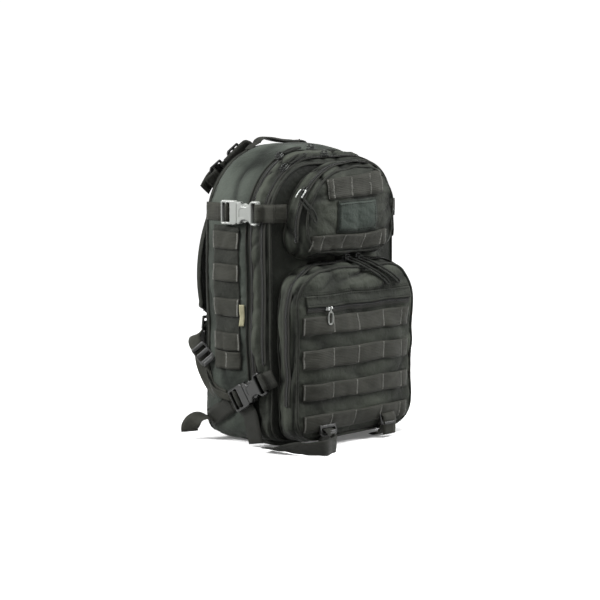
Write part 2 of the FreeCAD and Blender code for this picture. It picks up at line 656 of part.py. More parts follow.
def make_harness():
    tilt = size("strap_tilt")
    locks, webbing, lifters = [], [], []
    for name, side in SIDES:
        body = new_body(f"shoulder_pad_{name}")
        sketch = new_sketch(body, "outline", "XZ_Plane")
        top, low = 0.0, 176 - size("yoke_z")
        corners = [Vector(side * x, z, 0) for x, z in (
            (66, top - 18), (24, top - 14), (118, low), (84, low))]
        outer = Part.Arc(corners[0], Vector(side * 124, (top + low) * 0.46, 0), corners[2])
        inner = Part.Arc(corners[1], Vector(side * 64, (top + low) * 0.46, 0), corners[3])
        for curve in (outer, inner):
            sketch.addGeometry(curve, False)
        for first in (0, 2):
            sketch.addGeometry(Part.LineSegment(corners[first], corners[first + 1]), False)
        for index in range(4):
            sketch.addConstraint(Sketcher.Constraint("Block", index))
        pad(body, sketch, "Sizes.strap_thick", reverse=True)
        body.Placement = Placement(Vector(0, strap_plane(size("yoke_z")), size("yoke_z")),
                                   Rotation(Vector(1, 0, 0), tilt))
        lean = Vector(0, -math.sin(math.radians(tilt)), math.cos(math.radians(tilt)))
        out = Vector(0, math.cos(math.radians(tilt)), math.sin(math.radians(tilt)))

        # Ladder-lock at the pad's lower end, and the webbing below it, sewn into the side wing.
        foot_z = 162
        lock = Vector(side * 101, strap_plane(foot_z) + 4, foot_z)
        locks.append(ladder_lock(f"shoulder_lock_{name}", frame_at(lock, lean * -1, out)))
        wing_point = Vector(side * 139, 52, 96)
        start = lock + Vector(side * 4, 2.5, -15)
        webbing.append(strip(wing_point, start, Vector(side * 0.8, 0.6, 0.1),
                             size("webbing") - 2, size("web_thick")))
        # Load lifter from the back's top edge over to the pad, with its ladder-lock.
        upper = Vector(side * 46, 60, 422)
        lower = Vector(side * 96, 98, 360)
        run = lower - upper
        lifters.append(strip(upper, upper + run * 0.34, Vector(side * 0.4, 0.7, 0.7), 20,
                             size("web_thick")))
        locks.append(ladder_lock(f"load_lifter_lock_{name}", frame_at(
            upper + run * 0.62 + Vector(0, 3, 0), run, Vector(side * 0.2, 0.85, 0.5))))
    keep("shoulder_webbing", Part.makeCompound(webbing))
    keep("load_lifters", Part.makeCompound(lifters))
    group("harness_locks", locks)

    # Sternum strap between the pads, joined by its own small buckle.
    z = 292
    y = strap_plane(z) + 6
    origin = Vector(-4, y, z)
    place = frame_at(origin, Vector(-1, 0, 0), Vector(0, 1, 0))
    plug_body("sternum_plug", place)
    socket_body("sternum_socket", place)
    width, web = size("webbing") - 2, size("web_thick")
    reach = size("plug_long") + size("buckle_travel") + 1.5
    keep("sternum_webbing", Part.makeCompound([
        strip(origin + Vector(reach, 0, 0), Vector(62, y, z), Vector(0, 1, 0), width, web),
        strip(origin - Vector(size("socket_long") + 0.5, 0, 0), Vector(-62, y, z),
              Vector(0, 1, 0), width, web)]))


def ladder_lock(label, place):
    """Ladder-lock: a flat frame with two cross slots, one of a group of locks."""
    body = new_body(label, alone=False)
    outline = new_sketch(body, "outline", "XY_Plane")
    polygon(outline, [(-11, -15), (8, -16), (12, -13), (12, 13), (8, 16), (-11, 15)])
    pad(body, outline, "3.4")
    slots = new_sketch(body, "slots", "XY_Plane")
    for left in (-7, 1.5):
        rectangle(slots, f"{left}", "-12.6", f"{left} + Sizes.bar_slot", "12.6")
    pocket(body, slots, "5", midplane=True)
    body.Placement = place
    return body


def side_wing(side):
    """Fabric wing on the bag's side that joins the shoulder webbing to the lower rear corner."""
    corner, out = side_frame(side, size("back_y") - size("sheet_thick"), 0)
    rearward = Vector(0, 0, 1).cross(out) * side
    outline = [(0, 118), (-30, 86), (-56, 82), (-20, 46), (0, 44)]
    points = [corner + rearward * run + Vector(0, 0, z) for run, z in outline]
    return Part.Face(Part.makePolygon(points + [points[0]])).extrude(out * 2)


def make_lower_straps():
    width, thick = size("webbing"), size("web_thick")
    wings, tails, anchors, locks = [], [], [], []
    for name, side in SIDES:
        wings.append(side_wing(side))
        # Waist webbing tail: out of the lower rear corner, over, and down to the floor.
        tail = [Vector(side * x, 36, z) for x, z in (
            (142.6, 34), (149, 37.5), (158, 33), (165, 22), (164, 9), (157, 3), (149, 1.0))]
        tails.append(ribbon(tail, (0, 1, 0), width, thick))
        # Lash strap under the lower pocket: short loop, ladder-lock and free tail.
        x = side * 60
        locks.append(ladder_lock(f"lash_lock_{name}", frame_at(
            Vector(x, -119, 31), Vector(0, -0.35, -1), Vector(0, -1, 0.35))))
        anchors.append(ribbon([Vector(x, -100, 7), Vector(x, -108, 5), Vector(x, -113, 11),
                               Vector(x, -114.2, 19)], (1, 0, 0), width - 1, thick))
    keep("side_wings", Part.makeCompound(wings))
    keep("waist_tails", Part.makeCompound(tails))
    group("lash_locks", locks)
    edge = (width - 2) / 2
    route = [(-66, -131), (-80, -146), (-96, -151), (-110, -143), (-119, -120), (-124, -88),
             (-125, -54)]
    anchors.append(ribbon([Vector(x, y, edge + 0.2) for x, y in route], (0, 0, 1),
                          2 * edge, thick))
    keep("lash_straps", Part.makeCompound(anchors))


# --- Cord pulls -------------------------------------------------------------------------------

def make_cords():
    """Cord loops on the zipper sliders, each out along one leg, round and back."""
    thick = size("pull_cord")
    for name, offset in (("left", 5), ("right", 27)):
        route = [(-2, -99, 264.5), (4, -109, 261), (19, -117, 252), (38, -119.5, 242),
                 (56, -120, 231), (59, -120.5, 225), (54, -120.5, 224), (49, -119.8, 230),
                 (32, -118.5, 241), (13, -116, 251), (-1, -108, 259), (-7, -99, 262)]
        keep(f"lower_pull_cord_{name}", tube([Vector(offset + x, y, z) for x, y, z in route], thick))
    upper = [(-84, -90.9, 354.6), (-86.8, -92.5, 350), (-87, -99, 345), (-85.4, -107, 338),
             (-82, -112.4, 329), (-80, -113, 321.5), (-76, -113.2, 318.3), (-72.8, -113, 321.5),
             (-75, -112.8, 328.5), (-80, -113.6, 335.5), (-83.4, -109, 342),
             (-84.6, -101.6, 348.2), (-83.8, -95.6, 353.8)]
    keep("upper_pull_cord", tube([Vector(*point) for point in upper], thick))
    main = [(-66.3, -35, 413.3), (-58, -33.4, 416), (-46, -29.5, 418.2), (-34, -26.2, 419.4),
            (-28.3, -28.8, 419.6), (-30, -34.5, 419.6), (-41, -38.6, 419), (-53, -40.4, 416.8),
            (-63, -39.6, 413.4), (-66.4, -38.6, 412.2)]
    keep("main_pull_cord", tube([Vector(*point) for point in main], thick))
    second = [(-75.3, -55.8, 399.8), (-66, -54.2, 405), (-55, -50.5, 409.3), (-44, -47.8, 411),
              (-38.3, -50.2, 411.2), (-39, -55.8, 411.2), (-49, -59.4, 409.2), (-60, -60.6, 405.4),
              (-70.5, -60.4, 400.6), (-74.8, -59.6, 398.2)]
    keep("second_pull_cord", tube([Vector(*point) for point in second], thick))


make_compartments()
make_zipper_chains()
make_back()
make_attachment_webbing()
make_side_straps()
make_sliders()
make_handle()
make_harness()
make_lower_straps()
make_cords()
doc.recompute()

broken = [item.Label for item in doc.Objects if {"Invalid", "Error"} & set(item.State)]
broken += [item.Label for item in subparts if item.Shape.isNull() or not item.Shape.isValid()]
if broken:
    raise SystemExit(f"failed objects: {broken}")
os.makedirs("parts", exist_ok=True)
for item in subparts:
    item.Shape.exportStep(f"parts/{item.Label}.step")
print(len(subparts), "sub-parts")
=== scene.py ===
# Trauma backpack, looks. Lengths in the code are millimetres unless a name ends in _m.
import math
import bpy
import numpy as np
from mathutils import Matrix, Vector, noise
from mathutils.bvhtree import BVHTree


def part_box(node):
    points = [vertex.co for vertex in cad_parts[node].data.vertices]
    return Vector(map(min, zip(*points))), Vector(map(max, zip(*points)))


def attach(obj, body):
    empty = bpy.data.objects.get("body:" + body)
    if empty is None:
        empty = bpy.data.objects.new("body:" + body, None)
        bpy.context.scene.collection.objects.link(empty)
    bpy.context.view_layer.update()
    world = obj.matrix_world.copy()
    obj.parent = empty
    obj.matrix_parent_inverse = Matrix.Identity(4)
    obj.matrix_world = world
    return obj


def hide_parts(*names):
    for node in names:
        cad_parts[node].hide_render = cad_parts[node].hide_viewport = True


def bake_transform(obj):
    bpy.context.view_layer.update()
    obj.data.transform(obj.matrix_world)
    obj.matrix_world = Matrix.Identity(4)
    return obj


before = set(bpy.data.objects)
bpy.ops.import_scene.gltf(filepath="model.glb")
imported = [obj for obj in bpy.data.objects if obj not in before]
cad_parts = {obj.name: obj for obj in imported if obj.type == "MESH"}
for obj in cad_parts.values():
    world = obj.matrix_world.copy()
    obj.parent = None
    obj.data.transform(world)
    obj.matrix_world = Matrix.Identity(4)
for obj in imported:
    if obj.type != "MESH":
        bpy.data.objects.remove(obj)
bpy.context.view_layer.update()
MM = 0.001

SIDES = (("left", -1), ("right", 1))
REARWARD, UP = np.array([0, 1.0, 0]), np.array([0, 0, 1.0])


def cad(node):
    """Lowest and highest corner of a CAD node, in millimetres."""
    low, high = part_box(node)
    return np.array(low) / MM, np.array(high) / MM


# --- Sizes, from the frame where a node has them ----------------------------------------------

REAR_LOW, REAR_HIGH = cad("main_compartment")
FRONT_LOW, FRONT_HIGH = cad("second_compartment")
LOWER_LOW, LOWER_HIGH = cad("lower_pocket")
BACK_Y, ZIP_Y, FRONT_Y = REAR_HIGH[1], REAR_LOW[1], FRONT_LOW[1]
UPPER_FACE_Y, LOWER_FACE_Y = cad("upper_pocket")[0][1], LOWER_LOW[1]
ZIP_HALF, ZIP_TOP = FRONT_HIGH[0], FRONT_HIGH[2]
BACK_HALF, BACK_TOP, BODY_LOW = REAR_HIGH[0], REAR_HIGH[2], REAR_LOW[2]
FRONT_HALF, FRONT_TOP = ZIP_HALF - 6, ZIP_TOP - 16
CORNER, BACK_CORNER, FRONT_CORNER = 96, 112, 76    # radii of the arches' upper corners
FOOT = 26                                          # radius of their lower corners
WEBBING = 25.4                                     # one inch


# --- Materials --------------------------------------------------------------------------------

class Nodes:
    """Short way to write a material's node tree."""

    def __init__(self, name):
        self.material = bpy.data.materials.new(name)
        self.material.use_nodes = True
        self.tree = self.material.node_tree
        self.shader = self.tree.nodes["Principled BSDF"]

    def add(self, kind, **settings):
        node = self.tree.nodes.new(kind)
        for key, value in settings.items():
            setattr(node, key, value)
        return node

    def link(self, out, into):
        self.tree.links.new(out, into)

    def feed(self, socket, value):
        """Put a number, a colour or another node's output into a socket."""
        if isinstance(value, (int, float)):
            socket.default_value = value
        elif isinstance(value, tuple):
            socket.default_value = (*value, 1)
        else:
            self.link(value, socket)

    def set(self, **values):
        """Values or outputs for the shader's sockets, with _ for a space in their names."""
        for name, value in values.items():
            self.feed(self.shader.inputs[name.replace("_", " ")], value)

    def math(self, operation, *values):
        node = self.add("ShaderNodeMath", operation=operation)
        for socket, value in zip(node.inputs, values):
            self.feed(socket, value)
        return node.outputs[0]

    def times(self, first, second):
        return self.math("MULTIPLY", first, second)

    def plus(self, first, second):
        return self.math("ADD", first, second)

    def noise(self, vector, scale, detail=3.0, rough=0.55):
        node = self.add("ShaderNodeTexNoise")
        for name, value in (("Scale", scale), ("Detail", detail), ("Roughness", rough), ("Vector", vector)):
            self.feed(node.inputs[name], value)
        return node.outputs["Fac"]

    def ramp(self, value, stops):
        node = self.add("ShaderNodeValToRGB")
        points = node.color_ramp.elements
        while len(points) < len(stops):
            points.new(0.5)
        for point, (place, colour) in zip(points, stops):
            point.position = place
            point.color = (*colour, 1)
        self.link(value, node.inputs[0])
        return node.outputs[0]

    def mix(self, share, first, second):
        node = self.add("ShaderNodeMix", data_type="RGBA")
        for index, value in ((0, share), (6, first), (7, second)):
            self.feed(node.inputs[index], value)
        return node.outputs[2]

    def bump(self, height, strength, distance):
        node = self.add("ShaderNodeBump")
        for name, value in (("Strength", strength), ("Distance", distance), ("Height", height)):
            self.feed(node.inputs[name], value)
        self.set(Normal=node.outputs[0])

    def box_plane(self):
        """Object coordinates (u, v) in metres of the axis plane that a point's surface faces."""
        coord = self.add("ShaderNodeTexCoord")
        place = self.add("ShaderNodeSeparateXYZ")
        facing = self.add("ShaderNodeSeparateXYZ")
        self.link(coord.outputs["Object"], place.inputs[0])
        self.link(coord.outputs["Normal"], facing.inputs[0])
        size = [self.math("ABSOLUTE", facing.outputs[axis]) for axis in range(3)]
        toward_x = self.math("GREATER_THAN", size[0], self.math("MAXIMUM", size[1], size[2]))
        toward_z = self.math("GREATER_THAN", size[2], self.math("MAXIMUM", size[0], size[1]))

        def choose(switch, when_on, when_off):
            on = self.times(switch, when_on)
            off = self.times(self.math("SUBTRACT", 1.0, switch), when_off)
            return self.plus(on, off)

        u = choose(toward_x, place.outputs[1], place.outputs[0])
        v = choose(toward_z, place.outputs[1], place.outputs[2])
        return coord.outputs["Object"], u, v

    def uv_plane(self):
        coord = self.add("ShaderNodeTexCoord")
        place = self.add("ShaderNodeSeparateXYZ")
        self.link(coord.outputs["UV"], place.inputs[0])
        return coord.outputs["Object"], place.outputs[0], place.outputs[1]

    def sine(self, value, pitch_m):
        return self.math("SINE", self.times(value, 2 * math.pi / pitch_m))


def scaled(colour, factor):
    return tuple(min(1.0, c * factor) for c in colour)


WEB_ROUGH, SHEEN = 0.58, 0.03


def cloth_material(name, dark, light, pitch_m, rough=0.6, relief=0.35, mottle=16.0):
    """Plain-woven nylon: crossing yarns in relief, cloudy tone, and a soft sheen at the edges."""
    n = Nodes(name)
    place, u, v = n.box_plane()
    yarns = n.times(n.sine(u, pitch_m), n.sine(v, pitch_m))
    cloud = n.noise(place, mottle, 5.0, 0.62)
    fine = n.noise(place, 240.0, 2.0)
    crumple = n.math("ABSOLUTE", n.math("SUBTRACT", n.noise(place, 38.0, 4.0, 0.6), 0.5))
    tone = n.ramp(cloud, [(0.36, dark), (0.64, light)])
    # Lighter flecks of wear from the fine noise, and painted shade in the valleys between the yarns from the
    # weave
    shade = n.plus(n.times(yarns, 0.10), n.times(fine, 0.35))
    worn = n.mix(shade, tone, scaled(light, 1.9))
    # Painted shade and highlight from the mesh's fold values: darker in the valleys of the folds and beside
    # the seams, lighter on the crests
    fold = n.add("ShaderNodeAttribute", attribute_name="fold").outputs["Fac"]
    painted_crest_highlight = n.mix(n.math("MAXIMUM", n.times(fold, 0.55), 0.0), worn, scaled(light, 2.6))
    painted_valley_shade = n.math("MAXIMUM", n.times(fold, -0.75), 0.0)
    n.set(Base_Color=n.mix(painted_valley_shade, painted_crest_highlight, scaled(dark, 0.3)),
          Roughness=n.plus(n.times(fine, 0.18), rough - 0.09), Sheen_Weight=SHEEN,
          Sheen_Roughness=0.4, Specular_IOR_Level=0.09)
    weave = n.times(n.plus(yarns, n.times(fine, 0.8)), relief * 0.2)
    n.bump(n.plus(weave, n.times(crumple, 5.0)), 0.8, 0.0011)
    return n.material


def webbing_material(name, dark, light):
    """Woven webbing: ribs along its length and picks across."""
    n = Nodes(name)
    place, u, v = n.uv_plane()
    ribs = n.sine(v, 0.0021)
    picks = n.sine(n.plus(u, n.times(ribs, 0.0003)), 0.0014)
    cloud = n.noise(place, 42.0, 4.0, 0.6)
    fine = n.noise(place, 420.0, 2.0)
    tone = n.ramp(cloud, [(0.30, dark), (0.72, light)])
    weave = n.times(n.plus(ribs, picks), 0.09)
    shade = n.plus(weave, n.times(fine, 0.32))
    n.set(Base_Color=n.mix(shade, tone, scaled(light, 2.0)),
          Roughness=n.plus(n.times(fine, 0.2), WEB_ROUGH - 0.1), Sheen_Weight=SHEEN,
          Sheen_Roughness=0.35, Specular_IOR_Level=0.12)
    n.bump(n.plus(ribs, n.times(picks, 0.7)), 0.5, 0.00028)
    return n.material


def plastic_material(name, colour, rough, coat=0.0):
    """Moulded acetal: fine grain, slight flow marks, a few rubbed patches."""
    n = Nodes(name)
    place, _, _ = n.box_plane()
    marks = n.noise(place, 60.0, 4.0)
    n.bump(n.noise(place, 900.0, 2.0), 0.12, 0.00008)
    n.set(Base_Color=n.mix(marks, scaled(colour, 0.86), colour),
          Roughness=n.plus(n.times(marks, 0.22), rough - 0.1), Coat_Weight=coat, Specular_IOR_Level=0.35)
    return n.material


def metal_material(name, colour, rough):
    """Plated metal: fine scratches and a cloudy tone."""
    n = Nodes(name)
    place, _, _ = n.box_plane()
    scratch = n.noise(place, 700.0, 4.0, 0.7)
    cloud = n.noise(place, 130.0, 3.0)
    n.set(Base_Color=n.mix(cloud, scaled(colour, 0.75), colour),
          Roughness=n.plus(n.times(scratch, 0.3), rough - 0.15), Metallic=1.0)
    n.bump(scratch, 0.08, 0.00005)
    return n.material


def mesh_material(name, colour):
    """Spacer mesh of the padding: rows of small open cells."""
    n = Nodes(name)
    place, u, v = n.box_plane()
    cells = n.times(n.sine(u, 0.0042), n.sine(v, 0.0036))
    holes = n.ramp(cells, [(0.45, scaled(colour, 0.35)), (0.75, colour)])
    cloud = n.noise(place, 30.0, 4.0)
    n.set(Base_Color=n.mix(n.times(cloud, 0.4), holes, scaled(colour, 1.8)), Roughness=0.8,
          Sheen_Weight=0.1, Specular_IOR_Level=0.2)
    n.bump(cells, 0.6, 0.0006)
    return n.material


MATERIALS = {
    "body": cloth_material("body_nylon", (0.0072, 0.0081, 0.0064), (0.023, 0.0255, 0.0203), 0.0011),
    "side": cloth_material("side_nylon", (0.0125, 0.015, 0.0125), (0.028, 0.0325, 0.0275), 0.0011),
    "binding": cloth_material("binding_tape", (0.0066, 0.0072, 0.0058), (0.018, 0.0192, 0.0158), 0.0014,
                              mottle=30.0),
    "webbing": webbing_material("webbing", (0.0115, 0.0118, 0.0092), (0.026, 0.0264, 0.0213)),
    "strap": webbing_material("strap_webbing", (0.008, 0.0085, 0.007), (0.017, 0.0175, 0.0145)),
    "tape": webbing_material("zipper_tape", (0.0072, 0.0075, 0.0062), (0.0185, 0.019, 0.016)),
    # The tack thread's light colour is a painted sheen on the thread
    "thread": webbing_material("tack_thread", (0.070, 0.071, 0.063), (0.13, 0.13, 0.118)),
    "loop": cloth_material("loop_field", (0.012, 0.0145, 0.012), (0.028, 0.032, 0.028), 0.0016,
                           rough=0.85, relief=0.8, mottle=60.0),
    "patch": cloth_material("patch_cloth", (0.018, 0.024, 0.020), (0.034, 0.042, 0.036), 0.0012),
    "tag": cloth_material("tag_satin", (0.15, 0.145, 0.09), (0.24, 0.23, 0.15), 0.0008, rough=0.5),
    "mesh": mesh_material("spacer_mesh", (0.016, 0.017, 0.015)),
    "pad": cloth_material("pad_nylon", (0.006, 0.007, 0.0058), (0.014, 0.0155, 0.013), 0.0011),
    "teeth": plastic_material("zipper_coil", (0.008, 0.0085, 0.0075), rough=0.34),
    "black": plastic_material("black_acetal", (0.011, 0.0115, 0.0105), rough=0.32),
    "grey": plastic_material("grey_acetal", (0.25, 0.26, 0.245), rough=0.36, coat=0.08),
    "sheet": plastic_material("frame_sheet_plastic", (0.02, 0.02, 0.02), rough=0.5),
    "dark_metal": metal_material("dark_slider_metal", (0.05, 0.052, 0.05), rough=0.36),
    "silver": metal_material("nickel", (0.42, 0.43, 0.42), rough=0.3),
    "steel": metal_material("worn_nickel", (0.17, 0.175, 0.165), rough=0.4),
    "cord": cloth_material("cord_braid", (0.006, 0.0065, 0.0055), (0.013, 0.014, 0.012), 0.0018,
                           relief=0.9, mottle=90.0),
}


# --- Meshes -----------------------------------------------------------------------------------

def piece(name, points, faces, materials, body="bag", uvs=None, face_slots=None, replaces=(),
          slot=None, sharp=None):
    """New smooth mesh from points in millimetres, riding on a body."""
    mesh = bpy.data.meshes.new(name)
    mesh.from_pydata([tuple(np.asarray(point, float) * MM) for point in points], [],
                     [tuple(face) for face in faces])
    mesh.validate()
    obj = bpy.data.objects.new(name, mesh)
    bpy.context.scene.collection.objects.link(obj)
    for key in ([materials] if isinstance(materials, str) else materials):
        mesh.materials.append(MATERIALS[key])
    mesh.polygons.foreach_set("use_smooth", [True] * len(mesh.polygons))
    if face_slots is not None:
        mesh.polygons.foreach_set("material_index", face_slots)
    if uvs is not None:
        layer = mesh.uv_layers.new(name="weave")
        corner = np.zeros(len(mesh.loops), np.int32)
        mesh.loops.foreach_get("vertex_index", corner)
        layer.data.foreach_set("uv", (np.asarray(uvs, float)[corner] * MM).ravel())
    if sharp is not None:
        mesh.set_sharp_from_angle(angle=math.radians(sharp))
    return settle(obj, body, replaces, slot)


def settle(obj, body, replaces=(), slot=None):
    """Say what a finished piece rides on and what it stands for; its slot is not used."""
    if body:
        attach(obj, body)
    if replaces:
        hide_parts(*replaces)
    return obj


def unit(vector):
    vector = np.asarray(vector, float)
    return vector / np.linalg.norm(vector, axis=-1, keepdims=True)


def spline(points, step):
    """Dense points, step millimetres apart, along a smooth Catmull-Rom curve through the given ones."""
    p = np.array(points, float)
    p = np.vstack([2 * p[0] - p[1], p, 2 * p[-1] - p[-2]])
    out = []
    for i in range(1, len(p) - 2):
        count = max(1, int(round(np.linalg.norm(p[i + 1] - p[i]) / step)))
        t = np.linspace(0, 1, count, endpoint=False)[:, None]
        out.append(0.5 * (2 * p[i] + (p[i + 1] - p[i - 1]) * t
                          + (2 * p[i - 1] - 5 * p[i] + 4 * p[i + 1] - p[i + 2]) * t ** 2
                          + (3 * p[i] - p[i - 1] - 3 * p[i + 1] + p[i + 2]) * t ** 3))
    out.append(p[-2][None])
    return np.vstack(out)


def lengths(points):
    """How far along a line each of its points is."""
    return np.concatenate([[0], np.cumsum(np.linalg.norm(np.diff(points, axis=0), axis=1))])


def at_run(place, run, values):
    """Values of a line, given at the lengths run, at one place or several."""
    return np.stack([np.interp(place, run, column) for column in np.asarray(values).T], -1)


def square_to(along, across):
    """across, turned to stand at right angles to along."""
    return unit(across - along * np.sum(across * along, 1, keepdims=True))


def headings(line):
    return unit(np.gradient(np.asarray(line, float), axis=0))


def power(value, exponent):
    """Power of a value's size, with its sign kept."""
    return math.copysign(abs(value) ** exponent, value)


def turns(count):
    """Angles of count even steps round a circle."""
    return np.linspace(0, 2 * math.pi, count, endpoint=False)


ARCH_COUNTS = (22, 6, 36, 22, 22)


def arch(half, low, top, corner=CORNER):
    """Closed arched outline (x, z) from the base's left end, with matching points on every arch."""
    base_n, foot_n, side_n, corner_n, top_n = ARCH_COUNTS
    foot = FOOT

    def line(a, b, n):
        t = np.linspace(0, 1, n, endpoint=False)[:, None]
        return np.array(a) + (np.array(b) - np.array(a)) * t

    def arc(x, z, radius, start, n):
        a = np.radians(start + 90 * np.linspace(0, 1, n, endpoint=False))
        return np.stack([x + radius * np.cos(a), z + radius * np.sin(a)], 1)

    return np.vstack([
        line((-half + foot, low), (half - foot, low), base_n),
        arc(half - foot, low + foot, foot, -90, foot_n),
        line((half, low + foot), (half, top - corner), side_n),
        arc(half - corner, top - corner, corner, 0, corner_n),
        line((half - corner, top), (-half + corner, top), top_n),
        arc(-half + corner, top - corner, corner, 90, corner_n),
        line((-half, top - corner), (-half, low + foot), side_n),
        arc(-half + foot, low + foot, foot, 180, foot_n)])


def outward(outline):
    """Unit outward normals of a closed counter-clockwise (x, z) outline."""
    tangent = np.roll(outline, -1, 0) - np.roll(outline, 1, 0)
    return unit(np.stack([tangent[:, 1], -tangent[:, 0]], 1))


def shrunk(outline, share):
    """An outline drawn in towards its centre."""
    centre = outline.mean(0)
    return centre + (outline - centre) * share


def ring(outline, y):
    return np.stack([outline[:, 0], np.full(len(outline), float(y)), outline[:, 1]], 1)


SWELL_STEPS, END_RINGS = 8, 14


def closed_skin(stations, swell, crown, edge_power):
    """Closed skin through arched stations (y, outline) from the rear to the front.

    Between two stations the skin stands out by swell; the front is crowned by crown millimetres,
    flat in its middle, and the rear is flat.
    """
    rows = []
    first_y, first = stations[0]
    for share in np.linspace(0.06, 1, END_RINGS, endpoint=False):
        rows.append(ring(shrunk(first, share), first_y))
    for (y0, a), (y1, b) in zip(stations, stations[1:]):
        for t in np.linspace(0, 1, SWELL_STEPS, endpoint=False):
            middle = a + (b - a) * t
            rows.append(ring(middle + outward(middle) * swell * 4 * t * (1 - t), y0 + (y1 - y0) * t))
    last_y, last = stations[-1]
    for share in np.linspace(1, 0.06, END_RINGS):
        rows.append(ring(shrunk(last, share), last_y - crown * (1 - share ** edge_power)))
    return close_rows(rows)


def tube_faces(count, sides, closed=False):
    """Faces between count rings of points, and from the last ring to the first when closed."""
    faces = []
    for r in range(count if closed else count - 1):
        here, there = r * sides, (r + 1) % count * sides
        for i in range(sides):
            j = (i + 1) % sides
            faces.append((here + i, here + j, there + j, there + i))
    return faces


def close_rows(rows):
    """Points and faces of a closed tube of equal rings, with a fan at each end."""
    count = len(rows[0])
    points = np.vstack(rows)
    faces = tube_faces(len(rows), count)
    start, end, last = len(points), len(points) + 1, (len(rows) - 1) * count
    for i in range(count):
        j = (i + 1) % count
        faces += [(start, j, i), (end, last + i, last + j)]
    return np.vstack([points, rows[0].mean(0), rows[-1].mean(0)]), faces


def sheet_faces(nx, nz):
    """Faces of a closed sheet: nx by nz points in front, as many behind them, and the rim."""
    n = nx * nz
    faces = []
    for row in range(0, n - nx, nx):
        for a in range(row, row + nx - 1):
            faces += [(a, a + 1, a + nx + 1, a + nx), (n + a + nx, n + a + nx + 1, n + a + 1, n + a)]
    rim = [*range(nx), *range(2 * nx - 1, n, nx), *range(n - 2, n - nx - 1, -1), *range(n - 2 * nx, 0, -nx)]
    return faces + [(a, a + n, b + n, b) for a, b in zip(rim, rim[1:] + rim[:1])]


def coordinates(obj):
    """Vertex positions of a mesh object in millimetres."""
    co = np.zeros(len(obj.data.vertices) * 3)
    obj.data.vertices.foreach_get("co", co)
    return co.reshape(-1, 3) / MM


def set_coordinates(obj, points):
    obj.data.vertices.foreach_set("co", (np.asarray(points) * MM).ravel())
    obj.data.update()


def normals(obj):
    out = np.zeros(len(obj.data.vertices) * 3)
    obj.data.vertices.foreach_get("normal", out)
    return out.reshape(-1, 3)


def apply_modifier(obj, modifier):
    bpy.context.view_layer.objects.active = obj
    with bpy.context.temp_override(object=obj, active_object=obj, selected_objects=[obj]):
        bpy.ops.object.modifier_apply(modifier=modifier.name)


def remesh(obj, voxel):
    """Even mesh with cells of voxel millimetres, as the cloth simulation needs."""
    modifier = obj.modifiers.new("remesh", "REMESH")
    modifier.mode = "VOXEL"
    modifier.voxel_size = voxel * MM
    modifier.use_smooth_shade = True
    apply_modifier(obj, modifier)


PUFF_FRAMES = 20


def puff(obj, held, cap, pressure):
    """Swell a closed form by cloth simulation, then smooth it and make its mesh finer.

    held(points) marks what seams hold still, and no point moves by more than cap millimetres.
    """
    rest = coordinates(obj)
    group = obj.vertex_groups.new(name="held")
    group.add([int(i) for i in np.nonzero(held(rest))[0]], 1.0, "REPLACE")
    cloth = obj.modifiers.new("cloth", "CLOTH")
    settings = cloth.settings
    for name, value in dict(quality=5, mass=0.3, use_pressure=True, uniform_pressure_force=pressure,
                            tension_stiffness=12, compression_stiffness=12, shear_stiffness=4,
                            bending_stiffness=0.4, shrink_min=-0.02, vertex_group_mass="held").items():
        setattr(settings, name, value)
    settings.effector_weights.gravity = 0
    cloth.collision_settings.use_collision = False
    cloth.point_cache.frame_start = 1
    cloth.point_cache.frame_end = PUFF_FRAMES
    for step in range(1, PUFF_FRAMES + 1):
        bpy.context.scene.frame_set(step)
    apply_modifier(obj, cloth)
    bpy.context.scene.frame_set(1)
    moved = coordinates(obj) - rest
    reach = np.linalg.norm(moved, axis=1, keepdims=True)
    set_coordinates(obj, rest + moved * np.minimum(1, cap / np.maximum(reach, 1e-6)))
    obj.vertex_groups.clear()
    smooth = obj.modifiers.new("smooth", "SMOOTH")
    smooth.factor = 0.5
    smooth.iterations = 2
    apply_modifier(obj, smooth)
    subdivide = obj.modifiers.new("subdivide", "SUBSURF")
    subdivide.levels = subdivide.render_levels = 1
    apply_modifier(obj, subdivide)


def crease(obj, depth, seams=None):
    """Move each point of a mesh out by depth(points) millimetres.

    The depth of each point, lowered near the seams, is kept as the mesh's fold value; from it the cloth
    materials paint shade into the valleys and beside the seams, and a highlight on the crests.
    """
    points = coordinates(obj)
    moved = depth(points)
    set_coordinates(obj, points + normals(obj) * moved[:, None])
    fold = np.clip(moved / 2.1, -1, 1)
    if seams is not None:
        # Painted seam shade: the fold value is lowered close to the seams
        fold = np.clip(fold - 0.9 * np.exp(-(seams(points) / 3.2) ** 2), -1, 1)
    layer = obj.data.attributes.new("fold", "FLOAT", "POINT")
    layer.data.foreach_set("value", fold.astype(np.float32))


def ripple(points, scale, stretch=(1, 1, 1), seed=0.0):
    """Smooth noise from -1 to 1 at each point, with wavelengths of about scale millimetres."""
    scaled = points / (np.array(stretch) * scale)
    return np.array([noise.noise(Vector((x + seed, y + seed, z))) for x, y, z in scaled])


def wrinkle(points, scale, stretch, seed):
    """Soft folds from -1 to 1 on a wandering course, whose valleys are narrow and sharp."""
    drift = np.stack([ripple(points, scale * 2, seed=seed + k) for k in (11, 23, 31)], 1)
    course = points + drift * scale * 0.7
    return 1 - 2 * (1 - np.abs(ripple(course, scale, stretch, seed)) * 2.4).clip(0, 1) ** 2


def tree_of(obj):
    bpy.context.view_layer.update()
    return BVHTree.FromObject(obj, bpy.context.evaluated_depsgraph_get())


# How far the stuffed bag leans and sags, in millimetres.
RIGHT_LEAN, LEFT_LEAN, FRONT_LEAN, UPPER_LEAN, WANDER = 13.0, 4.0, 5.0, 8.0, 4.0
PILED = 10.0    # how much higher the upper pocket stands to the right


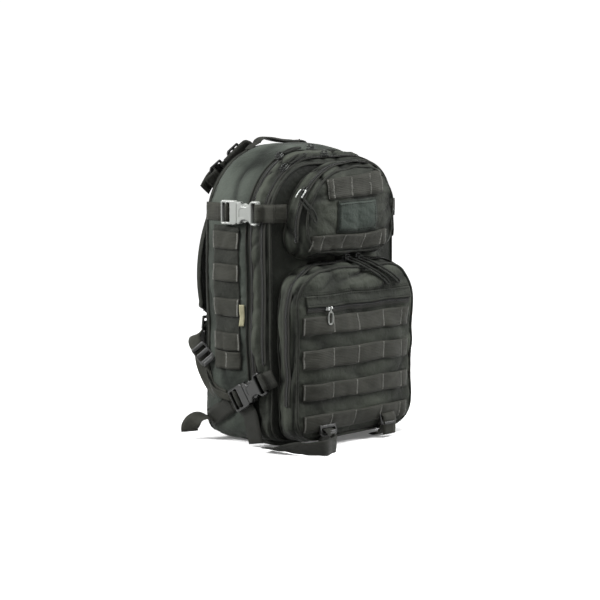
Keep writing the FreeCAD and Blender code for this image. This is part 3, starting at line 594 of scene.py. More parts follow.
def slump(points):
    """Where points of the soft bag settle to: the contents lean to its right, seams wander."""
    p = np.array(points, float)
    x, y, z = p.T
    ahead = np.clip((FRONT_Y + 4 - y) / 26, 0, 1)
    under = np.clip((LOWER_HIGH[2] + 4 - z) / 20, 0, 1) * np.clip(z / 30, 0, 1)
    right = np.clip((x - 10) / 95, 0, 1)
    left = np.clip((-x - 60) / 45, 0, 1)
    p[:, 0] += (RIGHT_LEAN * right - LEFT_LEAN * left) * ahead * under
    p[:, 1] -= FRONT_LEAN * np.clip(ahead * 1.5 - 0.5, 0, 1) * under
    corner = np.exp(-((x - 78) ** 2 + (z - 368) ** 2) / (2 * 30 ** 2)) * np.clip((ZIP_Y - y) / 20, 0, 1)
    p[:, 0] += UPPER_LEAN * 0.6 * corner
    p[:, 2] += UPPER_LEAN * corner
    pile = np.exp(-((x - 40) / 78) ** 2 - ((z - 388) / 42) ** 2) * np.clip((FRONT_Y + 2 - y) / 10, 0, 1)
    p[:, 2] += PILED * pile
    crown = np.clip((z - 330) / 30, 0, 1) * np.clip((y - FRONT_Y + 6) / 6, 0, 1)
    p[:, 0] += ripple(p, 78, seed=21.0) * WANDER
    p[:, 2] += ripple(p, 66, seed=37.0) * WANDER * np.clip(z / 60, 0, 1) * (1 - 0.75 * crown)
    return p


def hug(trees, points, lift):
    """Points moved to lift millimetres above the nearest of the skins."""
    places = []
    for point in points:
        found = [tree.find_nearest(Vector(point * MM)) for tree in trees]
        spot, normal, _, _ = min(found, key=lambda item: item[3])
        places.append(np.array(spot) / MM + np.array(normal) * lift)
    return np.array(places)


def smoothed(points, reach=2, closed=False):
    """Points averaged with their neighbours along a line."""
    weights = np.ones(2 * reach + 1) / (2 * reach + 1)
    if closed:
        padded = np.vstack([points[-reach:], points, points[:reach]])
        return np.stack([np.convolve(padded[:, k], weights, "valid") for k in range(3)], 1)
    out = points.copy()
    for k in range(3):
        out[reach:-reach, k] = np.convolve(points[:, k], weights, "valid")
    return out


def lay_on(tree, points, toward, lift=0.0, far=130.0, soft=True):
    """Points moved along toward until they lie lift millimetres above the surface of the tree.

    On the soft bag they settle with it first.
    """
    toward = unit(toward)
    laid = []
    points = slump(points) if soft else np.asarray(points, float)
    for index, point in enumerate(points):
        heading = toward if toward.ndim == 1 else toward[index]
        start = point - heading * far
        hit = tree.ray_cast(Vector(start * MM), Vector(heading), 2 * far * MM)[0]
        found = point if hit is None else np.array(hit) / MM
        laid.append(found - heading * lift)
    return np.array(laid)


# --- Straps, tapes and stitches ---------------------------------------------------------------

def band_mesh(centres, across, out, width, thick, columns=4):
    """Closed flat band. across and out are its directions, for all its centres or at each."""
    centres = np.asarray(centres, float)
    across = np.broadcast_to(unit(across), centres.shape)
    out = np.broadcast_to(unit(out), centres.shape)
    run = lengths(centres)
    s = np.linspace(-1, 1, columns + 1)
    edge = 1 - 0.5 * np.abs(s) ** 10
    section = [(v * width / 2, thick / 2 * e) for v, e in zip(s, edge)]
    section += [(a, -b) for a, b in section[::-1]]
    rows = [np.array([centre + sideways * a + up * b for a, b in section])
            for centre, sideways, up in zip(centres, across, out)]
    uvs = [np.array([(at, a + width / 2) for a, _ in section]) for at in run]
    points, faces = close_rows(rows)
    return points, faces, np.vstack([*uvs, uvs[0].mean(0), uvs[-1].mean(0)])


def turned(centres, across):
    """Outward directions of a band that bends in the plane at right angles to across."""
    return unit(np.cross(headings(centres), across))


def band_piece(name, line, across, out, width, thick, material, **extra):
    points, faces, uvs = band_mesh(line, across, out, width, thick)
    return piece(name, points, faces, material, uvs=uvs, **extra)


class Batch:
    """Several small meshes collected into one piece."""

    def __init__(self):
        self.points, self.faces, self.uvs, self.slots = [], [], [], []
        self.count = 0

    def add(self, points, faces, uvs=None, slot=0):
        points = np.asarray(points, float)
        self.points.append(points)
        self.faces += [tuple(int(i) + self.count for i in face) for face in faces]
        self.uvs.append(np.asarray(uvs, float) if uvs is not None else points[:, [0, 2]])
        self.slots += [slot] * len(faces)
        self.count += len(points)

    def make(self, name, materials, **extra):
        return piece(name, np.vstack(self.points), self.faces, materials, uvs=np.vstack(self.uvs),
                     face_slots=self.slots, **extra)


SQUARE = ((-1, -1), (1, -1), (1, 1), (-1, 1))
BLOCK_FACES = [(3, 2, 1, 0), (4, 5, 6, 7), (0, 1, 5, 4), (1, 2, 6, 5), (2, 3, 7, 6), (3, 0, 4, 7)]


def lozenge(centre, along, across, out, long, wide, high):
    """Small cushion-shaped block: eight corners at its waist and a raised four-corner top."""
    along, across, out = unit(along), unit(across), unit(out)
    low = [centre + along * a * long / 2 + across * b * wide / 2 for a, b in SQUARE]
    top = [centre + along * a * long * 0.36 + across * b * wide * 0.36 + out * high for a, b in SQUARE]
    return np.array(low + top), BLOCK_FACES


def bar_tack(batch, line, out):
    """Dense zigzag stitching across webbing, along a line of points."""
    line = np.asarray(line, float)
    run = lengths(line)
    count = max(4, int(run[-1] / 1.5))
    for index in range(count):
        at = (index + 0.5) * run[-1] / count
        along = unit(line[-1] - line[0])
        across = unit(np.cross(out, along))
        lean = along * (0.16 if index % 2 else -0.16) + across
        batch.add(*lozenge(at_run(at, run, line), lean, along, out, 3.2, 1.35, 0.75))


def stitches(batch, points, out, long=3.0, gap=1.6):
    """Row of lockstitches along a path; out is the surface's direction at each point."""
    run = lengths(points)
    out = np.broadcast_to(unit(out), np.asarray(points).shape)
    for start in np.arange(long / 2, run[-1] - long / 2, long + gap):
        centre, normal = at_run(start, run, points), at_run(start, run, out)
        along = unit(at_run(start + 0.8, run, points) - centre)
        batch.add(*lozenge(centre, along, np.cross(normal, along), normal, long, 0.7, 0.45))


# --- Moulded pieces ---------------------------------------------------------------------------

def corners(x0, y0, x1, y1):
    return [(x0, y0), (x1, y0), (x1, y1), (x0, y1)]


def rounded(points, radius, steps=4):
    """Outline with each corner turned into a short arc of at most the given radius."""
    p = np.asarray(points, float)
    out = []
    for i, corner in enumerate(p):
        before, after = p[i - 1] - corner, p[(i + 1) % len(p)] - corner
        a, b = np.linalg.norm(before), np.linalg.norm(after)
        u, w = before / a, after / b
        turn = math.acos(max(-1, min(1, float(-u @ w))))
        reach = min(radius * math.tan(turn / 2), a * 0.45, b * 0.45)
        for t in np.linspace(0, 1, steps):
            out.append((1 - t) ** 2 * (corner + u * reach) + 2 * t * (1 - t) * corner
                       + t ** 2 * (corner + w * reach))
    return np.array(out)


def moulded(outline, holes, thick, bevel, base=0.0):
    """Points and faces of a flat moulding with rounded rims, in its own frame in millimetres."""
    curve = bpy.data.curves.new("moulding", "CURVE")
    curve.dimensions = "2D"
    curve.fill_mode = "BOTH"
    for loop in [outline, *holes]:
        path = curve.splines.new("POLY")
        path.points.add(len(loop) - 1)
        for point, (x, y) in zip(path.points, loop):
            point.co = (x * MM, y * MM, 0, 1)
        path.use_cyclic_u = True
    curve.extrude = (thick / 2 - bevel) * MM
    curve.bevel_depth = bevel * MM
    curve.bevel_resolution = 2
    curve.offset = -bevel * MM
    holder = bpy.data.objects.new("moulding", curve)
    bpy.context.scene.collection.objects.link(holder)
    bpy.context.view_layer.update()
    mesh = bpy.data.meshes.new_from_object(holder.evaluated_get(bpy.context.evaluated_depsgraph_get()))
    points = np.array([v.co[:] for v in mesh.vertices]) / MM + (0, 0, base)
    faces = [tuple(face.vertices) for face in mesh.polygons]
    bpy.data.objects.remove(holder)
    bpy.data.meshes.remove(mesh)
    bpy.data.curves.remove(curve)
    return points, faces


def placed(points, origin, along, out):
    """Points of a local frame (X along, Z out) in the row frame."""
    along = unit(along)
    out = unit(np.asarray(out) - along * np.dot(out, along))
    across = np.cross(out, along)
    return np.asarray(origin) + points[:, :1] * along + points[:, 1:2] * across + points[:, 2:] * out


def box_part(low, high):
    (x0, y0, z0), (x1, y1, z1) = low, high
    points = [(x, y, z) for z in (z0, z1) for x, y in corners(x0, y0, x1, y1)]
    return np.array(points, float), BLOCK_FACES


def weld(obj):
    """Join the points that the parts of a moulding share."""
    modifier = obj.modifiers.new("weld", "WELD")
    modifier.merge_threshold = 0.01 * MM
    apply_modifier(obj, modifier)


def combine(obj, points, faces, operation):
    """Boolean of a mesh object with another closed form."""
    mesh = bpy.data.meshes.new("tool")
    mesh.from_pydata([tuple(point * MM) for point in points], [], faces)
    tool = bpy.data.objects.new("tool", mesh)
    bpy.context.scene.collection.objects.link(tool)
    weld(tool)
    modifier = obj.modifiers.new("combine", "BOOLEAN")
    modifier.operation = operation
    modifier.solver = "EXACT"
    modifier.object = tool
    apply_modifier(obj, modifier)
    bpy.data.objects.remove(tool)
    bpy.data.meshes.remove(mesh)


def hard_edges(obj, angle):
    """Smooth shading that keeps flat faces flat and edges over the angle sharp."""
    obj.data.polygons.foreach_set("use_smooth", [True] * len(obj.data.polygons))
    obj.data.set_sharp_from_angle(angle=math.radians(angle))
    modifier = obj.modifiers.new("flat_faces", "WEIGHTED_NORMAL")
    modifier.keep_sharp = True


def rect(x0, y0, x1, y1):
    return rounded(corners(x0, y0, x1, y1), 0.8, 3)


def mould(seat, outline, thick, bevel, base=0.0, holes=()):
    """Moulding set in the row frame by its seat: origin, the way it points and the way it faces."""
    points, faces = moulded(outline, holes, thick, bevel, base)
    return placed(points, *seat), faces


def moulding(name, material, form, changes, body, replaces=(), slot=None, angle=32):
    """Hard piece made of a closed form and then changed by booleans: (operation, closed form)."""
    obj = piece(name, *form, material, body=None)
    weld(obj)
    for operation, (points, faces) in changes:
        combine(obj, points, faces, operation)
    hard_edges(obj, angle)
    return settle(obj, body, replaces, slot)


BUCKLE_HALF, SOCKET_LONG, PLUG_LONG, BUCKLE_DEEP, PRONG, SLOT = 17, 36, 28, 10, 20, 4.8
SLOTS = (-PLUG_LONG + 2.8, -PLUG_LONG + 5.6 + SLOT)
BAR_AT = (SLOTS[0] + SLOT + SLOTS[1]) / 2


def both_edges(edge):
    """Outline that is the same on both sides of its long axis, from its upper edge."""
    return [(x, -y) for x, y in edge] + edge[::-1]


def plug_piece(name, seat, material, body, replaces, slot):
    """Side-release plug: rounded ladder frame, centre guide and two sprung prongs."""
    half, slot_half = BUCKLE_HALF, BUCKLE_HALF - 3.6
    frame_edge = [(-PLUG_LONG, half - 1.5), (-PLUG_LONG + 2, half), (-4, half), (0, half - 3)]
    holes = [rect(left, -slot_half, left + SLOT, slot_half) for left in SLOTS]
    tongue_edge = [(-6, half - 5), (PRONG - 11, half - 5.4), (PRONG - 7, half - 3.2), (PRONG - 1, half - 6),
                   (PRONG, half - 8.6), (6, half - 9.6), (4, 2.5), (PRONG - 3, 1.8)]
    tongue = mould(seat, rounded(both_edges(tongue_edge), 1.2, 3), 4.6, 0.8)
    return moulding(name, material, mould(seat, rounded(both_edges(frame_edge), 2.5), 7.6, 1.5, holes=holes),
                    [("UNION", tongue)], body, replaces, slot)


def socket_piece(name, seat, material, body, replaces, slot):
    """Side-release socket: waisted body with an open mouth, side windows and a webbing bar."""
    half, long = BUCKLE_HALF, SOCKET_LONG
    side = [(0.4, half - 1.2), (5.5, half - 1.4), (8.5, half - 6.2), (11, half - 7.4),
            (17.5, half - 7.4), (21, half - 5.4), (24.5, half - 1), (27, half), (long - 2, half),
            (long, half - 2)]
    outline = rounded(side + [(x, -y) for x, y in side[::-1]], 2.4)[::-1]
    hole = rect(long - 9.6, -half + 3.4, long - 3.4, half - 3.4)
    cuts = []
    for low, high in (((-2, -half + 1.6, -3), (PRONG + 1.5, half - 1.6, 3)),
                      ((7.4, -half - 1, -3), (21, half + 1, 3))):
        points, faces = box_part(low, high)
        cuts.append(("DIFFERENCE", (placed(points, *seat), faces)))
    dent = rounded([(5, -6), (15, -7.5), (15, 7.5), (5, 6)], 3)
    cuts.append(("DIFFERENCE", mould(seat, dent, 1.2, 0.5, BUCKLE_DEEP / 2)))
    return moulding(name, material, mould(seat, outline, BUCKLE_DEEP, 1.9, holes=[hole]), cuts, body,
                    replaces, slot)


def bar_loop(name, seat, body, material):
    """Webbing threaded through a plug's ladder: up one slot, over the bar and down the other."""
    path = [(-PLUG_LONG - 12, -5.2), (-PLUG_LONG - 4, -5.0), (BAR_AT - 5, -4.8), (BAR_AT - 2.9, -2.4),
            (BAR_AT - 2.5, 1.4), (BAR_AT, 4.0), (BAR_AT + 2.5, 1.4), (BAR_AT + 2.8, -2.4),
            (BAR_AT, -5.8), (BAR_AT - 6, -6.8), (-PLUG_LONG - 3, -7.0)]
    line = placed(spline([(x, 0, z) for x, z in path], 1.2), *seat)
    across = np.cross(unit(seat[2]), unit(seat[1]))
    band_piece(name, line, across, turned(line, across), WEBBING - 0.6, 1.5, material, body=body,
               slot="webbing")


def ladder_lock_parts(seat, stretch):
    """Ladder-lock: flat frame with two slots and a raised grip lip."""
    outline = rounded([(-11, -15), (8, -16), (12, -13), (12, 13), (8, 16), (-11, 15)], 2.2)
    holes = [rect(-7, -12.6, -3, 12.6), rect(1.5, -12.6, 5.5, 12.6)]
    body = moulded(outline, holes, 3.6, 0.9, 1.8)
    lip = moulded(rounded(corners(8.6, -11, 12.6, 11), 1.6), [], 3.2, 0.9, 4.2)
    return [(placed(points * stretch, *seat), faces) for points, faces in (body, lip)]


def lock_piece(name, seats, body, replaces=(), stretch=(1, 1, 1)):
    first, *others = [part for seat in seats for part in ladder_lock_parts(seat, np.array(stretch))]
    moulding(name, "black", first, [("UNION", part) for part in others], body, replaces, "black_plastic")


def slider_piece(name, seat, material, body, node, slot):
    """Zipper slider: two shield-shaped plates, a wedge between them, and a bridge for the pull."""
    outline = rounded([(-7.5, -2.6), (1.5, -4.5), (7.2, -3.4), (5.6, -1.4), (5.2, 0), (5.6, 1.4), (7.2, 3.4),
                       (1.5, 4.5), (-7.5, 2.6)], 1.4)
    wedge = rounded([(-1, -1.4), (4.6, -2.2), (4.6, 2.2), (-1, 1.4)], 0.6)
    bridge = [(-5, 4.4), (-5, 7.2), (-3.2, 8.5), (2.6, 8.5), (4.4, 7.2), (4.4, 4.4), (2.9, 4.4),
              (2.9, 6.9), (2.0, 7.2), (-2.6, 7.2), (-3.5, 6.9), (-3.5, 4.4)]
    points, faces = moulded(rounded(bridge, 0.8, 3), [], 2.5, 0.4)
    upright = placed(points[:, [0, 2, 1]], *seat), [face[::-1] for face in faces]
    joined = (mould(seat, wedge, 3.6, 0.35, 2.5), mould(seat, outline * 0.94, 1.7, 0.35, 4.15), upright)
    moulding(name, material, mould(seat, outline, 1.9, 0.45, 0.95), [("UNION", part) for part in joined],
             body, (node,), slot)


# --- The bag ----------------------------------------------------------------------------------

def held_rings(*depths):
    """Marks the points near seams that run round the bag at the given depths."""
    reach = 2.6

    def held(points):
        return np.any([near(points, depth, reach) for depth in depths], axis=0)
    return held


def soft_form(name, stations, swell, crown, held, cap, node, material="body", voxel=4.5,
              edge_power=6.0, pressure=7.0):
    """Stuffed cloth form through arched stations: swollen between its seams, then slumped."""
    obj = piece(name, *closed_skin(stations, swell, crown, edge_power), material, body=None)
    remesh(obj, voxel)
    puff(obj, held, cap, pressure)
    set_coordinates(obj, slump(coordinates(obj)))
    return settle(obj, "bag", (node,), "body_fabric")


def near(points, depth, reach):
    return np.abs(points[:, 1] - depth) < reach


def make_rear():
    """Rear compartment: a wide shell between the back panel and the main zipper."""
    stations = [(BACK_Y, arch(BACK_HALF - 0.6, BODY_LOW, BACK_TOP - 0.6, BACK_CORNER)),
                (ZIP_Y, arch(ZIP_HALF - 0.6, BODY_LOW, ZIP_TOP - 0.6))]

    def ends(points):
        return (points[:, 1] > BACK_Y - 3.2) | (points[:, 1] < ZIP_Y + 3.2)

    obj = soft_form("rear_compartment", stations, 2.2, 0, ends, 6.0, "main_compartment", material="side",
                    voxel=5)

    def folds(points):
        seam = np.minimum(BACK_Y - points[:, 1], points[:, 1] - ZIP_Y).clip(0, 14) / 14
        drawn = (ripple(points, 34, (1.6, 1.6, 2.6), 3.0) * 2.2
                 + wrinkle(points, 50, (3.0, 0.9, 3.0), 9.0) * 1.5)
        return drawn * seam + ripple(points, 13, (1, 1, 1.6), 5.0) * 0.4 * seam

    # Painted shade along the back seam and beside the main zipper
    crease(obj, folds, lambda points: np.minimum(BACK_Y - points[:, 1], points[:, 1] - ZIP_Y - 2))
    return obj


CHAIN_LIFT, CHAIN_HALF, TOOTH, TAPE_LIFT = 2.8, 2.5, 1.55, 1.0
SECOND_SHARE = 0.55
SECOND_ZIP_Y = ZIP_Y + (FRONT_Y - ZIP_Y) * SECOND_SHARE - CHAIN_HALF
SECOND_HALF = ZIP_HALF + (FRONT_HALF - ZIP_HALF) * SECOND_SHARE
SECOND_TOP = ZIP_TOP + (FRONT_TOP - ZIP_TOP) * SECOND_SHARE
FRONT_SEAM_Y = FRONT_Y + 3
FRONT_OUTLINE = arch(FRONT_HALF - 0.4, BODY_LOW, FRONT_TOP - 0.4, FRONT_CORNER)


def make_second():
    """Second compartment: it narrows from the main zipper to the front, past its own zipper."""
    stations = [(ZIP_Y, arch(ZIP_HALF - 0.6, BODY_LOW, ZIP_TOP - 0.6)),
                (SECOND_ZIP_Y, arch(SECOND_HALF - 0.5, BODY_LOW, SECOND_TOP - 0.5)),
                (FRONT_SEAM_Y, FRONT_OUTLINE)]

    def held(points):
        zipped = near(points, SECOND_ZIP_Y, 3.6) & (points[:, 2] > 112)
        return held_rings(ZIP_Y, FRONT_SEAM_Y)(points) | zipped | (points[:, 1] > ZIP_Y - 6)

    obj = soft_form("second_compartment_skin", stations, 1.8, 3.5, held, 5.0, "second_compartment")

    def folds(points):
        seam = np.minimum(np.abs(points[:, 1] - SECOND_ZIP_Y), np.abs(points[:, 1] - FRONT_SEAM_Y))
        free = (seam.clip(2, 9) - 2) / 7 * (points[:, 1] < ZIP_Y - 5)
        low = 1 + 0.6 * np.exp(-((points[:, 2] - 125) / 60) ** 2)
        leaning = points + points[:, 2:] * np.array([0.25, 0.42, 0])
        return (wrinkle(points, 40, (1, 0.8, 2.8), 5.0) * 2.2 * low
                + wrinkle(leaning, 25, (2.6, 1, 3.0), 14.0) * 1.5
                + ripple(points, 14, (1, 1, 2.5), 1.0) * 0.8) * free

    # Painted shade beside the second zipper and the front seam, and a wide painted shadow at the recessed
    # main zipper
    def seams(points):
        beside = np.abs(np.abs(points[:, 1] - SECOND_ZIP_Y) - 7)
        main = (ZIP_Y - points[:, 1]).clip(0, 99) / 2.6
        return np.minimum(beside, np.minimum(np.abs(points[:, 1] - FRONT_SEAM_Y), main))

    crease(obj, folds, seams)
    return obj


UPPER_SEAM_Y, UPPER_ZIP_Y = UPPER_FACE_Y + 4, FRONT_Y - 18
LOWER_SEAM_Y, LOWER_ZIP_Y = LOWER_FACE_Y + 5, FRONT_Y - 18
UPPER_FACE = arch(84, 275, 382, 70)
LOWER_FACE = arch(105, 14, 251, 48)
UPPER_ZIP_HALF, UPPER_ZIP_TOP, UPPER_CORNER = 94, 388, 86
UPPER_ARCH = arch(UPPER_ZIP_HALF, 271, UPPER_ZIP_TOP, UPPER_CORNER)
LOWER_ARCH = arch(108, 10, 258, 55)
SLASH_Z = 198


def pocket_seams(seam_y, zip_y):
    """Distance from a pocket's seams, beside which shade is painted: its base, both edges of its zipper and
    its face's rim.
    """
    def gap(points):
        y = points[:, 1]
        return np.min([np.abs(y - seam_y), np.abs(y - zip_y - 5), np.abs(y - zip_y + 8),
                       np.abs(y - FRONT_Y)], axis=0)
    return gap


def make_upper_pocket():
    """D-shaped upper pocket, stuffed so that its face is domed."""
    stations = [(FRONT_Y + 1, arch(97.5, 268, 392.5, 90)),
                (UPPER_ZIP_Y, arch(93.6, 271, 387.6, 86)),
                (UPPER_SEAM_Y, UPPER_FACE)]

    def held(points):
        return held_rings(FRONT_Y, UPPER_ZIP_Y, UPPER_SEAM_Y)(points) | (points[:, 1] > FRONT_Y - 2)

    obj = soft_form("upper_pocket_skin", stations, 1.6, 4.6, held, 5.0, "upper_pocket", voxel=4,
                    edge_power=5)

    def folds(points):
        face = points[:, 1] < UPPER_SEAM_Y - 0.5
        side = wrinkle(points, 30, (1, 1, 1.5), 2.0) * 1.9
        front = (ripple(points, 30, (1.3, 1, 0.9), 7.0) * 1.6 + wrinkle(points, 50, (2.4, 1, 0.8), 3.0) * 1.4
                 + wrinkle(points, 22, (2.6, 1, 1), 17.0) * 0.6)
        return np.where(face, front, side)

    crease(obj, folds, pocket_seams(UPPER_SEAM_Y, UPPER_ZIP_Y))
    return obj


def make_lower_pocket():
    """Lower pocket, with its slash pocket's opening held flat."""
    stations = [(FRONT_Y + 1, arch(108, 10, 259.5, 55)),
                (LOWER_ZIP_Y, arch(109, 10, 258, 55)),
                (LOWER_SEAM_Y, LOWER_FACE)]

    def held(points):
        seams = held_rings(FRONT_Y, LOWER_ZIP_Y, LOWER_SEAM_Y)(points) | (points[:, 1] > FRONT_Y - 2)
        slash = (points[:, 1] < LOWER_SEAM_Y) & (np.abs(points[:, 2] - SLASH_Z) < 19)
        return seams | slash | (points[:, 2] < 12)

    obj = soft_form("lower_pocket_skin", stations, 1.6, 4.4, held, 4.4, "lower_pocket", pressure=8.0)

    def folds(points):
        face = points[:, 1] < LOWER_SEAM_Y - 0.5
        panel = np.clip((points[:, 2] - 216) / 12, 0, 1)
        side = wrinkle(points, 34, (1, 1, 2.0), 4.0) * 2.1
        front = (ripple(points, 38, (1.5, 1, 0.8), 8.0) * 2.2
                 + wrinkle(points, 52, (2.6, 1, 0.8), 6.0) * (0.8 + 1.0 * panel)
                 + wrinkle(points, 24, (2.8, 1, 1), 19.0) * (0.4 + 0.5 * panel))
        return np.where(face, front, side)

    crease(obj, folds, pocket_seams(LOWER_SEAM_Y, LOWER_ZIP_Y))
    return obj


def piping(batch, trees, outline, y, radius, keep_above=None):
    """Round piping or bound edge along an arched seam, closed or open above a height."""
    centres = smoothed(hug(trees, slump(ring(outline, y)), radius * 0.45), 2, closed=True)
    out = ring(outward(outline), 0)
    sides = 8
    angles = turns(sides)
    closed = keep_above is None
    if not closed:
        order = above(outline, keep_above)
        centres, out = centres[order], out[order]
    count = len(centres)
    points = np.vstack([c + radius * (math.cos(a) * o + math.sin(a) * REARWARD)
                        for c, o in zip(centres, out) for a in angles])
    faces = tube_faces(count, sides, closed)
    if not closed:
        faces += [tuple(range(sides)), tuple(range((count - 1) * sides, count * sides))[::-1]]
    run = np.repeat(lengths(np.vstack([centres, centres[:1]]))[:-1], sides)
    uvs = np.stack([run, np.tile(angles * radius, count)], 1)
    batch.add(points, faces, uvs)


def above(outline, low):
    """Indices of an arch's points over a height, in order from its right foot to its left."""
    keep = np.nonzero(outline[:, 1] > low)[0]
    start = keep[np.argmax(outline[keep, 0] > 0)] if len(keep) else 0
    return keep[keep >= start]


def zipper(name, trees, outline, y, low, tape_wide=13):
    """Coil zipper over an arch: woven tape on both sides and interlocking teeth."""
    order = above(outline, low)
    line2, out2 = outline[order], outward(outline)[order]
    run = lengths(line2)
    even = np.arange(0, run[-1], 4.0)
    out = ring(unit(at_run(even, run, out2)), 0)
    centres = smoothed(hug(trees, slump(ring(at_run(even, run, line2), y)), 0.2), 3)
    batch = Batch()
    for side in (-1, 1):
        middle = centres + out * TAPE_LIFT + REARWARD * side * (tape_wide / 4 + 0.4)
        batch.add(*band_mesh(middle, REARWARD, out, tape_wide / 2 - 0.4, 0.8, 2))
    for index, at in enumerate(np.arange(1.0, even[-1], TOOTH)):
        centre, normal = at_run(at, even, centres), at_run(at, even, out)
        side = 0.55 if index % 2 else -0.55
        batch.add(*lozenge(centre + normal * (TAPE_LIFT + 0.2) + REARWARD * side, np.cross(normal, REARWARD),
                           REARWARD, normal, 1.25, 4.1, 1.35), slot=1)
    batch.make(name, ("tape", "teeth"), replaces=(f"{name}_chain",), slot="zipper")


def make_zippers(rear, second, upper, lower):
    zipper("main_zipper", (rear, second), arch(ZIP_HALF, BODY_LOW, ZIP_TOP), ZIP_Y - CHAIN_HALF, 58)
    zipper("second_zipper", (second,), arch(SECOND_HALF, BODY_LOW, SECOND_TOP), SECOND_ZIP_Y, 118)
    zipper("upper_pocket_zipper", (upper,), UPPER_ARCH, UPPER_ZIP_Y - CHAIN_HALF, 290, tape_wide=12)
    zipper("lower_pocket_zipper", (lower,), LOWER_ARCH, LOWER_ZIP_Y - CHAIN_HALF, 58, tape_wide=12)


def make_piping(rear, second, upper, lower):
    edges = Batch()
    piping(edges, (rear,), arch(BACK_HALF, BODY_LOW, BACK_TOP, BACK_CORNER), BACK_Y - 0.5, 2.6)
    piping(edges, (second,), FRONT_OUTLINE, FRONT_SEAM_Y, 2.1)
    piping(edges, (rear,), arch(ZIP_HALF, BODY_LOW, ZIP_TOP), ZIP_Y + 6.5, 1.5, keep_above=40)
    piping(edges, (upper,), UPPER_FACE, UPPER_SEAM_Y, 1.8)
    piping(edges, (lower,), LOWER_FACE, LOWER_SEAM_Y, 2.0)
    piping(edges, (upper,), arch(98, 267, 393, 90), FRONT_Y - 2.5, 1.7)
    piping(edges, (lower,), arch(108, 10, 260, 55), FRONT_Y - 2.5, 1.7)
    edges.make("seam_bindings", "binding", slot="body_fabric")


def make_base():
    """Base panel: a tougher bottom with rounded edges under the bag."""
    low, high = cad("base_panel")
    centre = (low + high) / 2
    half_x, half_y, _ = (high - low) / 2
    outline = rounded(corners(-half_x, -half_y, half_x, half_y), 18, 8)
    points, faces = moulded(outline, [], high[2] - low[2] - 0.4, 2.6, centre[2] - 0.1)
    points[:, :2] += centre[:2]
    moulding("base_pad", "binding", (points, faces), [], "bag", ("base_panel",), "body_fabric", angle=50)


# --- Webbing on the bag -----------------------------------------------------------------------

def ahead(x, z):
    """Place in front of the bag, from where cloth is laid on its faces."""
    return (x, -200.0, z)


def conformed(tree, xs, zs, toward, lift, thick, rise, place=ahead):
    """Points, faces and weave of flat cloth laid on a surface, and the grid of its top.

    The cloth covers a grid over xs and zs, and rise(x, z) pillows it.
    """
    ground = lay_on(tree, np.array([place(x, z) for z in zs for x in xs], float), toward, far=120)
    lifts = np.array([rise(x, z) for z in zs for x in xs])[:, None]
    top = ground - unit(toward) * (lift + thick + lifts)
    bottom = ground - unit(toward) * (lift + lifts * 0.9)
    uvs = np.array([(x - xs[0], z - zs[0]) for z in zs for x in xs] * 2)
    cloth = np.vstack([top, bottom]), sheet_faces(len(xs), len(zs)), uvs
    return cloth, top.reshape(len(zs), len(xs), 3)


def laid_piece(name, material, node, slot, *grid, **extra):
    """One cloth laid on a surface as a piece of its own. Returns the grid of its top."""
    (points, faces, uvs), top = conformed(*grid, **extra)
    piece(name, points, faces, material, uvs=uvs, replaces=(node,), slot=slot)
    return top


def pillow(tacks, ends, height):
    """Rise of webbing that is sewn down at the tacks and stands open between them."""
    stops = sorted([ends[0], *tacks, ends[1]])

    def rise(x, _z):
        for a, b in zip(stops, stops[1:]):
            if a <= x <= b:
                t = (x - a) / (b - a)
                return height * math.sin(math.pi * t) ** 0.55
        return 0.0
    return rise


def face_rows(name, tree, rows, node):
    """Webbing rows across a pocket's face: (left, right, low, high, its bar tacks, how they lean)."""
    webbing, thread = Batch(), Batch()
    for left, right, low, high, tacks, lean in rows:
        xs = np.linspace(left, right, int((right - left) / 2.6) + 1)
        webbing.add(*conformed(tree, xs, np.linspace(low, high, 7), REARWARD, 0.3, 1.4,
                               pillow(tacks, (left, right), 1.7))[0])
        for tack in [left + 2, *tacks, right - 2]:
            line = [ahead(tack + lean * (z - (low + high) / 2), z)
                    for z in np.linspace(low + 1.2, high - 1.2, 6)]
            bar_tack(thread, lay_on(tree, line, REARWARD, 1.9), -REARWARD)
    webbing.make(name, "webbing", replaces=(node,), slot="webbing")
    thread.make(name + "_tacks", "thread", slot="webbing")


def make_face_webbing(upper_tree, lower_tree):
    rows = []
    for index, high in enumerate((26, 25, 25, 24)):
        top, drift = 188 - 46 * index, -2.6 * index
        tacks = [-46 + drift, 0 + drift, 45 + drift * 0.6, 80]
        rows.append((-98, 95, top - high, top, tacks, 0.03))
    face_rows("lower_pocket_rows", lower_tree, rows, "lower_attachment_rows")
    face_rows("upper_pocket_rows", upper_tree, [
        (-50, 58, 347, 373, [-40, -3, 33], 0.02),
        (-78, 68, 279, 301, [-60, -19, 21, 56], 0.22)], "upper_attachment_rows")


def make_patch(tree):
    """The loop field, and the blank patch on it with its stitched border."""
    low, high = cad("loop_field")
    laid_piece("loop_panel", "loop", "loop_field", "loop_fabric", tree, np.linspace(low[0], high[0], 40),
               np.linspace(low[2], high[2], 22), REARWARD, 0.2, 1.1,
               lambda x, z: 0.25 * noise.noise(Vector((x * 0.9, z * 0.9, 0))))
    low, high = cad("blank_patch")

    def domed(x, z):
        u = abs(2 * (x - low[0]) / (high[0] - low[0]) - 1)
        v = abs(2 * (z - low[2]) / (high[2] - low[2]) - 1)
        return 0.9 * (1 - u ** 8) * (1 - v ** 8)

    top = laid_piece("blank_name_patch", "patch", "blank_patch", "patch_fabric", tree,
                     np.linspace(low[0], high[0], 36), np.linspace(low[2], high[2], 18), REARWARD, 1.3, 0.9,
                     domed)
    thread = Batch()
    inset = top[1:-1, 1:-1]
    border = np.vstack([inset[0], inset[1:, -1], inset[-1, ::-1][1:], inset[::-1, 0][1:]])
    stitches(thread, border + (0, -0.3, 0), -REARWARD, 2.4, 1.0)
    thread.make("patch_border_stitches", "binding", slot="patch_fabric")


